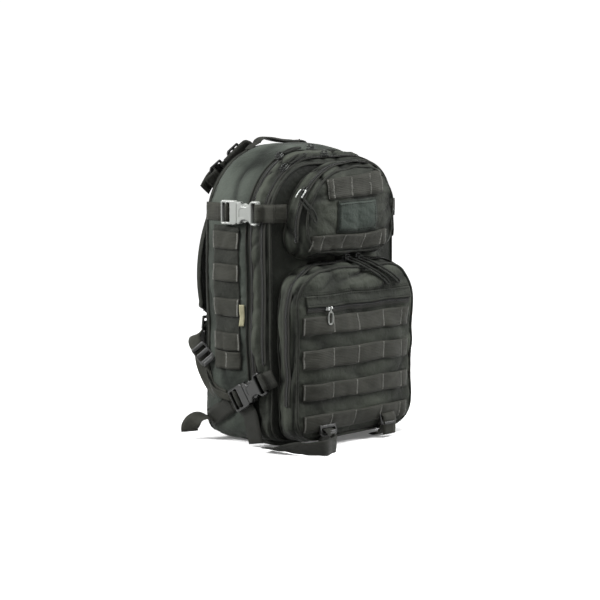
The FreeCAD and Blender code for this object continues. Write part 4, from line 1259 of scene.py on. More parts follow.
def make_slash_pocket(tree):
    """Slash zipper of the lower pocket with its rain flap and the stitched lines round it."""
    low, high = cad("slash_zipper_chain")
    xs = np.arange(low[0], high[0], 2.0)
    middle = (low[2] + high[2]) / 2
    chain = Batch()
    for side in (-1, 1):
        zs = np.sort(np.linspace(0, 5.4, 4) * side + middle + side * 0.5)
        chain.add(*conformed(tree, xs, zs, REARWARD, 0.1, 0.9, lambda x, z: 0)[0])
    line = lay_on(tree, [ahead(x, middle) for x in np.arange(low[0] + 2, high[0] - 2, TOOTH)], REARWARD, 1.0)
    for index, centre in enumerate(line):
        shift = UP * (0.5 if index % 2 else -0.5)
        chain.add(*lozenge(centre + shift, (1, 0, 0), UP, -REARWARD, 1.25, 3.8, 1.3), slot=1)
    chain.make("slash_zipper", ("tape", "teeth"), replaces=("slash_zipper_chain",), slot="zipper")

    low, high = cad("slash_pocket_flap")

    def hood(x, z):
        share = (high[2] + 4 - z) / (high[2] - low[2] + 5.5)
        return 2.9 * share ** 1.5 + 0.25 * noise.noise(Vector((x / 14, z / 9, 2.0)))

    top = laid_piece("slash_flap", "body", "slash_pocket_flap", "body_fabric", tree,
                     np.linspace(low[0], high[0], 90), np.linspace(low[2] - 1.5, high[2] + 4, 9), REARWARD,
                     0.2, 1.2, hood)
    thread = Batch()
    for row in (2, 7):
        stitches(thread, top[row] + (0, -0.25, 0), -REARWARD)
    for height in (191.5, 218.5, 221.5):
        seam = lay_on(tree, [ahead(x, height) for x in np.linspace(-95, 96, 60)], REARWARD, 0.1)
        stitches(thread, seam, -REARWARD)
    thread.make("slash_stitches", "binding", slot="body_fabric")


def make_side_webbing(tree):
    """Attachment webbing down each side of the rear compartment."""
    first, last = -27.0, 20.0
    middle = (first + last) / 2
    backing, rows, thread = Batch(), Batch(), Batch()
    for _, side in SIDES:
        toward = np.array([-side, 0.12, 0])
        ys = np.linspace(first, last, 20)[::-side]

        def at(y, z, side=side):
            return (side * 200, y, z)

        def tack(y, low, high):
            line = [at(y, z) for z in np.linspace(low, high, 6)]
            bar_tack(thread, lay_on(tree, line, toward, 3.0), -toward)

        backing.add(*conformed(tree, ys, np.linspace(107, 313, 60), toward, 0.2, 1.2,
                               lambda y, z: 0.3 * noise.noise(Vector((y / 9, z / 14, 4.0))), at)[0])
        open_loop = pillow([], (first + 2.5, last - 2.5), 1.9)
        for top in (306 - index * 48.5 for index in range(4)):
            heights = np.linspace(top - WEBBING, top, 8)
            rows.add(*conformed(tree, ys, heights, toward, 1.5, 1.4, open_loop, at)[0])
            for y in (first + 1.6, last - 1.6):
                tack(y, top - WEBBING + 1, top - 1)
        low_band = pillow([middle], (first, last), 1.2)
        rows.add(*conformed(tree, ys, np.linspace(108, 133, 8), toward, 1.5, 1.3, low_band, at)[0])
        tack(middle, 110, 131)
    backing.make("side_strips", "binding", replaces=("side_strip_backings",), slot="webbing")
    rows.make("side_rows", "webbing", replaces=("side_attachment_rows",), slot="webbing")
    thread.make("side_row_tacks", "thread", slot="webbing")


def make_tag(tree):
    """Satin tag in the left side's seam, standing out at both ends."""
    low, high = cad("seam_tag")
    middle = (low[2] + high[2]) / 2
    laid_piece("side_seam_tag", "tag", "seam_tag", "tag_fabric", tree,
               np.linspace(low[1] - 1.5, high[1] + 0.5, 5), np.linspace(low[2] - 7, high[2] - 7, 14),
               (1.0, 0.12, 0), 1.2, 0.7, lambda y, z: 1.6 * abs(z - middle + 7) / 15,
               place=lambda y, z: (-200, y, z))


# --- Straps and buckles -----------------------------------------------------------------------

SUNK = 3.5    # how far a strap's first point lies in the seam that it comes out of
UPPER_BUCKLE = dict(origin=(137.8, -21, 331), along=(-0.208, -0.978, 0), out=(0.98, -0.20, 0),
                    tail=(139.2, 47, 331), seam=(121.6, -71, 331))
LOWER_BUCKLE = dict(origin=(135.2, -35, 77), along=(-0.17, -0.83, 0.53), out=(0.98, -0.20, 0),
                    tail=(139.4, 41, 29), seam=(121.8, -71.5, 100))


def mirrored(side, vector):
    """A vector of the right side, for either side."""
    return np.array([side * vector[0], vector[1], vector[2]], float)


def beside(origin, along, out, steps):
    """Points at steps (along, out) from an origin."""
    return [origin + along * a + out * b for a, b in steps]


def strap_between(name, points, across, body, material="strap", width=WEBBING, thick=1.5, **extra):
    """Flat webbing along a smooth line through the points; across is its width's direction."""
    line = spline(points, 3.0)
    return band_piece(name, line, across, turned(line, across), width, thick, material, body=body,
                      slot="webbing", **extra)


def over_skin(trees, points, out):
    """Points of a strap's run, moved out where the swollen fabric under them stands higher."""
    run = np.array(points, float)
    for tree in trees:
        skin = lay_on(tree, run + out * 60, -out, 1.8, far=90, soft=False)
        rise = (skin - run) @ out
        run = run + out * np.where(rise > 14, 0, rise.clip(0))[:, None]
    return run


def make_buckles(trees):
    """Side straps: buckles, the webbing from the rear seams to them, and on to the front."""
    for height, buckle, plastic, web in (("upper", UPPER_BUCKLE, "grey", "webbing"),
                                         ("lower", LOWER_BUCKLE, "black", "strap")):
        for name, side in SIDES:
            first = side < 0
            origin, along = mirrored(side, buckle["origin"]), unit(mirrored(side, buckle["along"]))
            out = unit(mirrored(side, buckle["out"]))
            out = unit(out - along * (out @ along))
            seat = (origin, along, out)
            across = np.cross(out, along)
            label = f"{height}_strap_{name}"
            body = f"{label}_plug_body"
            plug_piece(f"{label}_buckle_plug", seat, plastic, body, (f"{label}_plug",), f"{plastic}_plastic")
            socket_piece(f"{label}_buckle_socket", seat, plastic, "bag",
                         (f"{height}_strap_sockets",) if first else (), f"{plastic}_plastic")
            bar_loop(f"{label}_bar_loop", seat, body, web)

            tail = mirrored(side, buckle["tail"]) + out * 1.2
            start = origin - along * (PLUG_LONG + 9) - out * 5.1
            course = over_skin(trees, tail + (start - tail) * np.linspace(0, 0.85, 6)[:, None], out)
            course[0] -= out * SUNK
            run = strap_between(f"{label}_rear_run", [*course, start], across, None, web,
                                replaces=("side_strap_webbing",) if first and height == "upper" else ())
            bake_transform(run)

            end = origin + along * (SOCKET_LONG - 5.7)
            seam = mirrored(side, buckle["seam"])
            course = over_skin(trees, end + (seam - end) * np.linspace(0.45, 1, 4)[:, None], out)
            wrap = beside(end, along, out, [(10, -4.4), (4, -5.8), (0.9, -3.4), (0.8, 2.8), (3.4, 5.8),
                                            (8.4, 3.4)])
            strap_between(f"{label}_front_run", [*wrap, *course, seam + unit(seam - end) * 6 + out * 0.4],
                          across, "bag", web)


def make_strap_tails():
    """Free ends of the side straps, and the fold of webbing on over the front compartment."""
    for name, side in SIDES:
        down = [(-133.4, -14, 64), (-133.0, -27, 58), (-130.6, -37, 46), (-130.2, -41, 32),
                (-129.2, -44, 18), (-127.6, -46, 5.5)]
        line = spline([mirrored(-side, p) for p in down], 3.0)
        along = headings(line)
        across = unit(np.cross((side * 0.98, -0.2, 0.0), along))
        band_piece(f"lower_strap_{name}_tail", line, across, np.cross(along, across), WEBBING, 1.5, "strap",
                   slot="webbing")
        wrap = [(-124.6, -62, 331), (-122.2, -70.6, 331), (-117.6, -76.4, 331), (-108, -78.2, 331),
                (-99, -78.6, 331)]
        strap_between(f"upper_strap_{name}_fold", [mirrored(-side, p) for p in wrap], UP, "bag", "webbing")


def make_side_wings(tree):
    """Triangular cloth wings that tie the shoulder webbing to the lower rear corners."""
    hem = Batch()
    nx, nz = 26, 12
    for name, side in SIDES:
        toward = np.array([-side, 0, 0])
        ys = np.linspace(45, -8, nx)
        top = [67 + 30 * np.clip((y + 8) / 53, 0, 1) ** 2 for y in ys]
        low = [min(46 + max(0, 28 - y), high - 2) for y, high in zip(ys, top)]
        grid = np.array([(side * 200, y, lo + (hi - lo) * j / (nz - 1))
                         for j in range(nz) for y, hi, lo in zip(ys, top, low)])
        ground = lay_on(tree, grid, toward)
        proud = 1.4 * np.clip((grid[:, 1] + 8) / 26, 0, 1) + ripple(grid, 22, seed=6.0) * 0.8
        outer, inner = (ground - unit(toward) * (lift + proud)[:, None] for lift in (1.8, 0.6))
        faces = [face[::side * -1] for face in sheet_faces(nx, nz)]
        wing = piece(f"side_wing_{name}", np.vstack([outer, inner]), faces, "side",
                     replaces=("side_wings",) if side < 0 else (), slot="body_fabric")
        area = sum(np.linalg.norm(np.cross(outer[f[1]] - outer[f[0]], outer[f[3]] - outer[f[0]]))
                   for f in faces[::2][:(nz - 1) * (nx - 1)]) * MM * MM
        line = spline(outer[(nz - 1) * nx:][::4], 3.0)
        taut = np.sin(math.pi * np.linspace(0, 1, len(line)))[:, None]
        line = line - unit(toward) * (1.6 + 3.4 * taut) + 2.0 * UP * taut
        hem.add(*band_mesh(line, (0, 0.45, 1.0), -toward, 12, 1.8, 4))
    hem.make("side_wing_hems", "webbing", slot="webbing")


def make_waist_tails():
    """Ends of the waist webbing: out of the lower rear corners and curled down to the floor."""
    curl = [(137.5, 34, 28), (144, 39, 33), (152, 47, 33), (159, 55, 27), (162, 60, 19), (161, 61, 12)]
    for name, side in SIDES:
        line = spline([mirrored(side, p) for p in curl], 3.0)
        along = headings(line)
        share = (lengths(line) / lengths(line)[-1])[:, None] ** 0.7
        root, end = np.array([side * -0.5, 0.85, 0.15]), np.array([side * 0.73, 0.68, 0])
        across = square_to(along, unit((1 - share) * root + share * end))
        band_piece(f"waist_tail_{name}", line, across, np.cross(along, across), WEBBING - 1, 1.5, "webbing",
                   replaces=("waist_tails",) if side < 0 else (), slot="webbing")


def make_lash_straps():
    """Lash straps under the lower pocket: sewn loops, ladder-locks and free tails."""
    seats = [((side * 60, -119, 31), (0, -0.35, -1), (0, -1, 0.35)) for _, side in SIDES]
    lock_piece("lash_strap_locks", seats, "bag", ("lash_locks",))
    sewn = [(-96, 3.2), (-104, 2.6), (-110.5, 4.6), (-115, 11), (-119.8, 17.6), (-122.8, 22.4),
            (-124.0, 25.2), (-121.4, 27.4), (-117.6, 25.4), (-115.8, 19)]
    for name, side in SIDES:
        strap_between(f"lash_strap_{name}_loop", [(side * 60, y, z) for y, z in sewn], (1, 0, 0), "bag",
                      "webbing", replaces=("lash_straps",) if side < 0 else ())
    # The left tail turns on its edge below its lock, then leans over until its end lies flat.
    edge = (WEBBING - 2) / 2
    ground = [(-60, -119.4), (-59.6, -126), (-61, -134), (-65, -142), (-73, -150), (-84, -156), (-97, -158),
              (-109, -153), (-119, -139), (-127, -119), (-133, -97), (-137, -78)]
    line = spline([(x, y, 0) for x, y in ground], 3.0)
    run = lengths(line) / lengths(line)[-1]
    lean = np.interp(run, [0, 0.1, 0.22, 0.5, 0.8, 1.0], [0.9, 1.0, 1.0, 0.76, 0.4, 0.12])
    lean = (lean + 0.05 * np.sin(run * 21.0)).clip(0, 1) * math.pi / 2
    height = np.interp(run, [0, 0.05, 0.13], [31, 24, 1.0])
    line[:, 2] = np.maximum(height, edge * np.sin(lean) + 1.0 + 0.8 * np.sin(run * 17.0) ** 2)
    line[:, 1] += 1.5 * np.sin(run * 26.0) * (run > 0.15)
    along = headings(line)
    level = unit(np.cross(along * (1, 1, 0), UP))
    sheer = np.cos(lean)[:, None] * level - np.sin(lean)[:, None] * UP
    turn = np.clip(run / 0.14, 0, 1)[:, None]
    across = square_to(along, unit((1 - turn) * np.array([1.0, 0, 0]) + turn * sheer))
    band_piece("lash_tail_left_run", line, across, np.cross(along, across), 2 * edge, 1.4, "strap",
               slot="webbing")
    drop = [(60, -120.2, 37), (60.6, -123.6, 33.5), (61, -125.4, 29), (61, -125.4, 22),
            (61.4, -124.6, 12), (62, -123.6, 5)]
    strap_between("lash_tail_right_run", drop, (1, 0, 0), "bag", "webbing")


# --- Handle and harness -----------------------------------------------------------------------

def make_handle():
    """Limp grab handle of folded webbing, and the tabs that hold its ends."""
    low, high = cad("grab_handle")
    half, y, top = high[0], (low[1] + high[1]) / 2, high[2]
    route = [(-half + 0.5, BACK_TOP + 3.6), (-half + 4, BACK_TOP + 7.4), (-half + 13, top - 4.6),
             (-half + 26, top - 6.2), (2, BACK_TOP + 5.6), (half - 18, BACK_TOP + 4.2),
             (half - 8, BACK_TOP + 5.0), (half - 0.5, BACK_TOP + 3.6)]
    line = spline([(x, y, z) for x, z in route], 2.0)
    grip = np.exp(-(line[:, 0] / 26) ** 6)
    angles = turns(20)
    rows, uvs = [], []
    for centre, g, o, run in zip(line, grip, turned(line, REARWARD), lengths(line)):
        wide, thick = 8.6 + 1.8 * g, 1.6 + 1.3 * g
        rows.append(np.array([centre + REARWARD * power(math.cos(a), 0.6) * wide
                              + o * power(math.sin(a), 0.8) * thick for a in angles]))
        uvs.append(np.array([(run, a * 4) for a in angles]))
    points, faces = close_rows(rows)
    uvs = np.vstack([*uvs, uvs[0].mean(0), uvs[-1].mean(0)])
    piece("handle_grip", points, faces, "strap", body="grab_handle_body", uvs=uvs,
          replaces=("grab_handle",), slot="webbing")
    anchors = Batch()
    for _, side in SIDES:
        x = side * (half + 3.2)
        tab = [(side * (half + 16), y, BACK_TOP - 6.0), (side * (half + 9), y, BACK_TOP - 0.6),
               (x, y, BACK_TOP + 1.8), (x - side * 3.0, y, BACK_TOP + 3.4)]
        line = spline(tab, 2.0)
        anchors.add(*band_mesh(line, REARWARD, turned(line, REARWARD), 14, 2.2))
    anchors.make("handle_tabs", "strap", replaces=("handle_anchors",), slot="webbing")


YOKE_Z, TILT = 402, math.radians(4.5)
OFF_BACK = np.array([0, math.cos(TILT), math.sin(TILT)])
DOWN_BACK = np.array([0, math.sin(TILT), -math.cos(TILT)])
STRAP_PLANE = BACK_Y + 2 + 3 + 9 + 4
PAD_LOW, STRAP_THICK = 176 - YOKE_Z, 12


def pad_point(x, z, depth):
    """Point of a shoulder pad's own frame in the row frame: z down from the yoke, depth outward."""
    c, s = math.cos(TILT), math.sin(TILT)
    return np.array([x, STRAP_PLANE + depth * c - z * s, YOKE_Z + z * c + depth * s])


def arc_through(a, b, c, n):
    """Points on the circular arc from a over b to c, three points of a plane."""
    a, b, c = (np.array(p, float) for p in (a, b, c))
    d = 2 * (a[0] * (b[1] - c[1]) + b[0] * (c[1] - a[1]) + c[0] * (a[1] - b[1]))
    ux = (a @ a * (b[1] - c[1]) + b @ b * (c[1] - a[1]) + c @ c * (a[1] - b[1])) / d
    uy = (a @ a * (c[0] - b[0]) + b @ b * (a[0] - c[0]) + c @ c * (b[0] - a[0])) / d
    centre = np.array([ux, uy])
    start, middle, end = (math.atan2(*(p - centre)[::-1]) for p in (a, b, c))
    sweep = (end - start) % (2 * math.pi)
    if (middle - start) % (2 * math.pi) > sweep:
        sweep -= 2 * math.pi
    angles = start + np.linspace(0, sweep, n)
    return centre + np.linalg.norm(a - centre) * np.stack([np.cos(angles), np.sin(angles)], 1)


def pad_rows(outer, inner, side):
    """Rounded cross-sections of a shoulder pad between its edges, closed in at both ends."""
    rows = []
    for o, i in zip(outer, inner):
        row = []
        for angle in turns(24):
            x, z = (o + i) / 2 + (o - i) / 2 * power(math.cos(angle), 0.55) * 0.965
            bulge = power(math.sin(angle), 0.75) * (STRAP_THICK / 2 - 1.7)
            row.append(pad_point(side * x, z, STRAP_THICK / 2 + bulge))
        rows.append(np.array(row))
    for share in (0.6, 0.2):
        rows.insert(0, rows[0].mean(0) + (rows[0] - rows[0].mean(0)) * share + (0, 0, 1.2))
        rows.append(rows[-1].mean(0) + (rows[-1] - rows[-1].mean(0)) * share - (0, 0, 1.2))
    return rows


def make_shoulder_pads():
    """Padded shoulder straps with bound edges and webbing tacked down their middles."""
    outer = arc_through((66, -18), (115, PAD_LOW * 0.46), (110, PAD_LOW), 60)
    inner = arc_through((24, -14), (58, PAD_LOW * 0.46), (78, PAD_LOW), 60)
    edge, middle = np.vstack([outer, inner[::-1]]), (outer + inner) / 2
    stitching, bindings, centre_web = Batch(), Batch(), Batch()
    for name, side in SIDES:
        pad = piece(f"shoulder_strap_{name}", *close_rows(pad_rows(outer, inner, side)), ("pad", "mesh"),
                    body=None)
        remesh(pad, 3.6)

        def held(points, side=side):
            flat = np.stack([points[:, 0] * side, (points[:, 2] - YOKE_Z) / math.cos(TILT)], 1)
            return np.min(np.linalg.norm(flat[:, None] - edge[None], axis=2), axis=1) < 3.5

        puff(pad, held, 2.6, pressure=3.0)
        inner_side = [1 if face.normal.y < -0.35 else 0 for face in pad.data.polygons]
        pad.data.polygons.foreach_set("material_index", inner_side)
        settle(pad, "harness", (f"shoulder_pad_{name}",), "padding")

        loop = [pad_point(side * x, z, STRAP_THICK / 2) for x, z in edge]
        rim = spline([*loop, loop[0]][::3], 3.0)
        bindings.add(*band_mesh(rim, OFF_BACK, turned(rim, OFF_BACK), 8.5, 1.6, 3))
        line = np.array([pad_point(side * x, z, STRAP_THICK / 2) for x, z in middle[3:-1]])
        across = unit(np.cross(OFF_BACK, headings(line)))
        top = smoothed(lay_on(tree_of(pad), line + OFF_BACK * 30, -OFF_BACK, 1.2, soft=False))
        centre_web.add(*band_mesh(top, across, OFF_BACK, WEBBING - 1, 1.5, 6))
        for at in range(6, len(top) - 4, 9):
            bar_tack(stitching, [top[at] + across[at] * reach + OFF_BACK * 0.8 for reach in (-11, 11)],
                     OFF_BACK)
    bindings.make("shoulder_strap_bindings", "binding", body="harness", slot="padding")
    centre_web.make("shoulder_strap_webbing", "strap", body="harness", slot="webbing")
    stitching.make("shoulder_strap_tacks", "thread", body="harness", slot="webbing")


CORNER_FACE = (0.76, -0.46, 0.36)


def load_lifter(name, side):
    """Load lifter: out of the top seam, through its ladder-lock and on to a free tail. Returns the
    seats of its lock and of its keeper."""
    upper, lower = np.array([side * 46, 60, 422.0]), np.array([side * 96, 98, 360.0])
    run = lower - upper
    face = unit(np.array([-side * 0.25, 0.85, 0.25]))
    middle = upper + run * 0.62 + (0, 3, 0)
    seats = [(middle, run, face), (upper + run * 0.24 + face * 1.5, run, face)]
    along = unit(run)
    out = unit(face - along * (face @ along))
    across = np.cross(out, along)
    path = [upper + (-side * 5, -8, -2.5), upper - UP, upper + run * 0.2 + out * 0.6,
            *beside(middle, along, out, [(-14, -2.4)])]
    lifter = strap_between(f"load_lifter_{name}", path, across, None, width=24, thick=2.4,
                           replaces=("load_lifters",) if side < 0 else ())
    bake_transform(lifter)
    thread = [(-14, -2.4), (-8, -1.6), (-5, 1), (-2.6, 5.2), (1.2, 5.4), (3.4, 1), (6, -2.6), (14, -3.0),
              (26, -0.5)]
    strap_between(f"load_lifter_{name}_threading", beside(middle, along, out, thread), across, "harness",
                  width=22)
    tail = beside(middle, along, out, [(-1, 6.8), (8, 7.5), (20, 5.5), (34, 1.5)])
    tail[-1] = tail[-1] - UP * 4
    strap_between(f"load_lifter_{name}_tail", tail, across, "harness", width=20)
    return seats


def shoulder_web(name, side, tree):
    """Lower webbing: from the pad's ladder-lock, through the corner keeper and down over the wing.
    Returns the seat of the pad's lock."""
    foot_z = 162
    plane = STRAP_PLANE + (YOKE_Z - foot_z) * math.tan(TILT)
    lock = np.array([side * 96, plane + 4, foot_z])
    sideways = np.array([side, 0, 0.0])
    hang = beside(lock, DOWN_BACK, OFF_BACK, [(2.6, 5.4), (7, 2), (13, 1.2), (24, 1)])
    hang[-1] = hang[-1] + sideways * 4
    strap_between(f"shoulder_web_{name}_threading", hang, np.cross(OFF_BACK, DOWN_BACK), "harness",
                  width=WEBBING - 2)
    start = lock + DOWN_BACK * 22 + OFF_BACK + sideways * 3
    wing = np.array([side * 144.4, 67, 138.0])
    low_run = [(side * 140.8, 47, 93), (side * 140.4, 38, 80), (side * 140.0, 22, 72.5),
               (side * 139.0, 6, 68)]
    line = spline([start, start + DOWN_BACK * 8 + sideways * 10, (side * 122, plane - 2, 148),
                   (side * 137, 78, 146), wing, (side * 142.4, 58, 126), (side * 141.8, 54, 110),
                   *over_skin((tree,), low_run, sideways)], 3.0)
    share = (lengths(line) / lengths(line)[-1])[:, None]
    near, past = (share / 0.4).clip(0, 1), ((share - 0.6) / 0.2).clip(0, 1)
    face = unit((1 - near) * OFF_BACK + near * (1 - past) * mirrored(side, CORNER_FACE) + past * sideways)
    along = headings(line)
    across = unit(np.cross(face, along))
    web = band_piece(f"shoulder_web_{name}", line, across, np.cross(along, across), WEBBING - 6, 1.5,
                     "webbing", body=None, replaces=("shoulder_webbing",) if side < 0 else (),
                     slot="webbing")
    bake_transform(web)
    return lock, DOWN_BACK, OFF_BACK


def make_harness_webbing(tree):
    """Webbing that joins the shoulder straps to the bag, with its ladder-locks."""
    seats = []
    for name, side in SIDES:
        seats += [shoulder_web(name, side, tree), *load_lifter(name, side)]
    lock_piece("shoulder_ladder_locks", seats, "harness", ("harness_locks",))
    keepers = [(mirrored(side, (142.6, 50.5, 124)), mirrored(side, (-0.13, -0.74, -0.66)),
                mirrored(side, CORNER_FACE)) for _, side in SIDES]
    lock_piece("wing_corner_locks", keepers, "bag", stretch=(1.45, 0.74, 1))


def make_sternum_strap():
    """Sternum strap: two webbing runs round the pads, and the buckle between them."""
    x, z = -4.0, 292
    y = STRAP_PLANE + (YOKE_Z - z) * math.tan(TILT) + 6
    seat = np.array([x, y, z]), np.array([-1.0, 0, 0]), REARWARD
    plug_piece("sternum_buckle_plug", seat, "black", "sternum_plug_body", ("sternum_plug",), "black_plastic")
    socket_piece("sternum_buckle_socket", seat, "black", "harness", ("sternum_socket",), "black_plastic")
    bar_loop("sternum_bar_loop", seat, "sternum_plug_body", "strap")
    end = x + PLUG_LONG + 9
    right = [(end, -5), (46, -3.5), (56, 1), (68, 6.4), (82, 7.4), (96, 7.2)]
    run = strap_between("sternum_run_right", [(at, y + off, z) for at, off in right], UP, None,
                        width=WEBBING - 2, replaces=("sternum_webbing",))
    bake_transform(run)
    bar = x - (SOCKET_LONG - 5.7)
    left = [(bar + 9, -5.6), (bar, -5.2), (bar - 1, -1), (bar, 4.2), (bar - 3, 5.6), (bar - 8, 3), (-58, 3.4),
            (-68, 6.4), (-82, 7.4), (-96, 7.2)]
    strap_between("sternum_run_left", [(at, y + off, z) for at, off in left], UP, "harness",
                  width=WEBBING - 2)


def make_back():
    """Back panel with its quilted lumbar pad and two long pads."""
    outline = arch(BACK_HALF - 3, 12, BACK_TOP - 3, BACK_CORNER - 3)
    rows = [ring(shrunk(outline, share), 52.4 + 1.4 * (1 - share ** 6)) for share in np.linspace(0.05, 1, 24)]
    rows.append(ring(outline + outward(outline) * 1.2, 51))
    rows += [ring(shrunk(outline, share), 50.2) for share in np.linspace(1, 0.05, 10)]
    points, faces = close_rows(rows)
    points[:, 1] += np.where(points[:, 1] > 52, ripple(points, 40, seed=11.0) * 0.5, 0)
    piece("back_face", points, [f[::-1] for f in faces], "pad", replaces=("back_panel",), slot="padding")

    low, high = cad("back_pads")
    for name, side in SIDES:
        x0, x1 = sorted((side * 16, side * high[0]))
        quilted_pad(f"back_pad_{name}", (x0, low[1], low[2]), (x1, high[1], high[2]),
                    ("back_pads",) if side < 0 else (), rows=(low[2] + 66, low[2] + 133))
    quilted_pad("lumbar_cushion", *cad("lumbar_pad"), ("lumbar_pad",), columns=(-30, 30))


def make_yoke():
    """Yoke panel over the tops of the shoulder straps, with two rows of stitches."""
    low, high = cad("yoke_panel")
    points, faces = moulded(rounded(corners(low[0], low[2], high[0], high[2]), 7), [], high[1] - low[1], 0.6)
    points = np.stack([points[:, 0], (low[1] + high[1]) / 2 - points[:, 2], points[:, 1]], 1)
    piece("yoke_cover", points, faces, "binding", uvs=points[:, [0, 2]], replaces=("yoke_panel",),
          slot="padding", sharp=40)
    thread = Batch()
    for inset in (3.5, 6.5):
        border = rounded(corners(low[0] + inset, low[2] + inset, high[0] - inset, high[2] - inset), 4)
        stitches(thread, ring(np.vstack([border, border[:1]]), high[1]), REARWARD)
    thread.make("yoke_stitches", "thread", slot="padding")


def quilted_pad(name, low, high, replaces, rows=(), columns=()):
    """Foam pad under spacer mesh, sewn through along horizontal and upright channels."""
    y, thick = low[1], high[1] - low[1]
    channels = [(2, height) for height in rows] + [(0, x) for x in columns]
    rim = rounded(corners(low[0] + 1, low[2] + 1, high[0] - 1, high[2] - 1), 13, 8)
    outline = []
    for a, b in zip(rim, np.roll(rim, -1, 0)):
        count = max(1, int(np.linalg.norm(b - a) / 4))
        outline += [a + (b - a) * t for t in np.linspace(0, 1, count, endpoint=False)]
    outline = np.array(outline)
    rings = [ring(shrunk(outline, share), y) for share in np.linspace(0.05, 0.97, 8)]
    rings.append(ring(outline, y + thick * 0.35))
    rings += [ring(shrunk(outline, share), y + thick * (0.45 + 0.30 * (1 - share ** 7)))
              for share in np.linspace(0.985, 0.05, 16)]
    points, faces = close_rows(rings)
    obj = piece(name, points, [f[::-1] for f in faces], "mesh", body=None)
    remesh(obj, 3.2)

    def held(p):
        marks = p[:, 1] < y + thick * 0.3
        for axis, place in channels:
            marks |= np.abs(p[:, axis] - place) < 2.4
        return marks

    def sewn(p):
        depth = np.zeros(len(p))
        for axis, place in channels:
            depth -= 2.6 * np.exp(-((p[:, axis] - place) / 2.2) ** 2) * (p[:, 1] > y + thick * 0.45)
        return depth

    puff(obj, held, 3.0, pressure=5.0)
    crease(obj, sewn)
    settle(obj, "bag", replaces, "padding")


# --- Sliders, pulls and cords -----------------------------------------------------------------

def arc_seat(half, top, corner, y, side, angle):
    """Seat of a slider on an arch's corner, angle degrees from straight up out to one side."""
    turn = math.radians(angle)
    out = np.array([side * math.sin(turn), 0, math.cos(turn)])
    along = np.array([side * math.cos(turn), 0, -math.sin(turn)])
    centre = np.array([side * (half - corner), y, top - corner])
    return centre + out * (corner + CHAIN_LIFT), along, out


PULL_AT = np.array([-56, LOWER_FACE_Y - 3, 199.8])


def make_sliders():
    """Sliders on their chains, where the CAD has them, and the two metal pulls."""
    right, left = (1, 0, 0), (-1, 0, 0)
    lower_y, lower_z = LOWER_ZIP_Y - CHAIN_HALF, LOWER_HIGH[2] - 2 + CHAIN_LIFT
    upper_arc = (UPPER_ZIP_HALF, UPPER_ZIP_TOP, UPPER_CORNER, UPPER_ZIP_Y - CHAIN_HALF)
    seats = {
        "main_slider_left": arc_seat(ZIP_HALF, ZIP_TOP, CORNER, ZIP_Y - CHAIN_HALF, -1, 26),
        "second_slider_left": arc_seat(SECOND_HALF, SECOND_TOP, CORNER, SECOND_ZIP_Y, -1, 34),
        "upper_pocket_slider_left": arc_seat(*upper_arc, -1, 50),
        "upper_pocket_slider_right": arc_seat(*upper_arc, 1, 74),
        "main_slider_right": ((-12, ZIP_Y - CHAIN_HALF, ZIP_TOP + CHAIN_LIFT), right, UP),
        "second_slider_right": ((-6, SECOND_ZIP_Y, SECOND_TOP + CHAIN_LIFT), right, UP),
        "lower_pocket_slider_left": ((5, lower_y, lower_z), left, UP),
        "lower_pocket_slider_right": ((27, lower_y, lower_z), right, UP),
    }
    for node, seat in seats.items():
        slider_piece(f"{node}_casting", seat, "dark_metal", f"{node}_body", node, "dark_metal")
    slider_piece("slash_slider_casting", (PULL_AT, left, -REARWARD), "silver", "slash_slider_body",
                 "slash_slider", "bright_metal")
    make_slash_pull(PULL_AT - REARWARD * 8)
    make_hook_pull(seats["upper_pocket_slider_left"])


def tube_mesh(line, radius):
    """Round bar along a line of points, with slightly domed ends."""
    tangent = headings(line)
    side = unit(np.cross(tangent[0], (0.13, 0.29, 0.95)))
    angles = turns(12)
    rows = []
    for centre, heading in zip(line, tangent):
        side = unit(side - heading * (side @ heading))
        third = np.cross(heading, side)
        rows.append(np.array([centre + radius * (math.cos(a) * side + math.sin(a) * third)
                              for a in angles]))
    caps = [line[end] + (rows[end] - line[end]) * 0.6 + heading * radius * 0.35
            for end, heading in ((0, -tangent[0]), (-1, tangent[-1]))]
    rows = [caps[0], *rows, caps[1]]
    points, faces = close_rows(rows)
    run = lengths(np.vstack([row.mean(0) for row in rows]))
    uvs = np.array([(r, a * radius) for r in run for a in angles] + [(0, 0), (run[-1], 0)])
    return points, faces, uvs


def make_slash_pull(bar):
    """Oval ring pull on the slash slider: an eye round the bridge, a neck and a flat ring."""
    def upright(points):
        return np.stack([points[:, 0], -points[:, 2], points[:, 1]], 1) + bar

    def oval(radius):
        return np.array([(radius * math.cos(t), radius * math.sin(t) + (4.5 if math.sin(t) > 0 else -4.5))
                         for t in turns(48)])

    points, faces = moulded(oval(5.2), [oval(3)], 1.5, 0.45)
    eye = np.array([bar + (0, 2.15 * math.cos(t), 2.15 * math.sin(t)) for t in turns(24)])
    neck, neck_faces = moulded(rounded([(-1.2, -2.2), (1.2, -2.2), (1.8, -5.6), (-1.8, -5.6)], 0.4)[::-1], [],
                               1.4, 0.35)
    moulding("slash_pull_ring", "steel", (upright(points) - UP * 14.5, faces),
             [("UNION", ring_tube(eye, 0.62)), ("UNION", (upright(neck), neck_faces))], "slash_pull_body",
             ("slash_pull",), "bright_metal", angle=40)


def ring_tube(loop, radius):
    """Closed round ring through a loop of points."""
    tangent = unit(np.roll(loop, -1, 0) - np.roll(loop, 1, 0))
    centre = loop.mean(0)
    sides = 10
    points = []
    for place, heading in zip(loop, tangent):
        radial = unit(place - centre)
        third = np.cross(heading, radial)
        points += [place + radius * (math.cos(a) * radial + math.sin(a) * third) for a in turns(sides)]
    return np.array(points), tube_faces(len(loop), sides, closed=True)


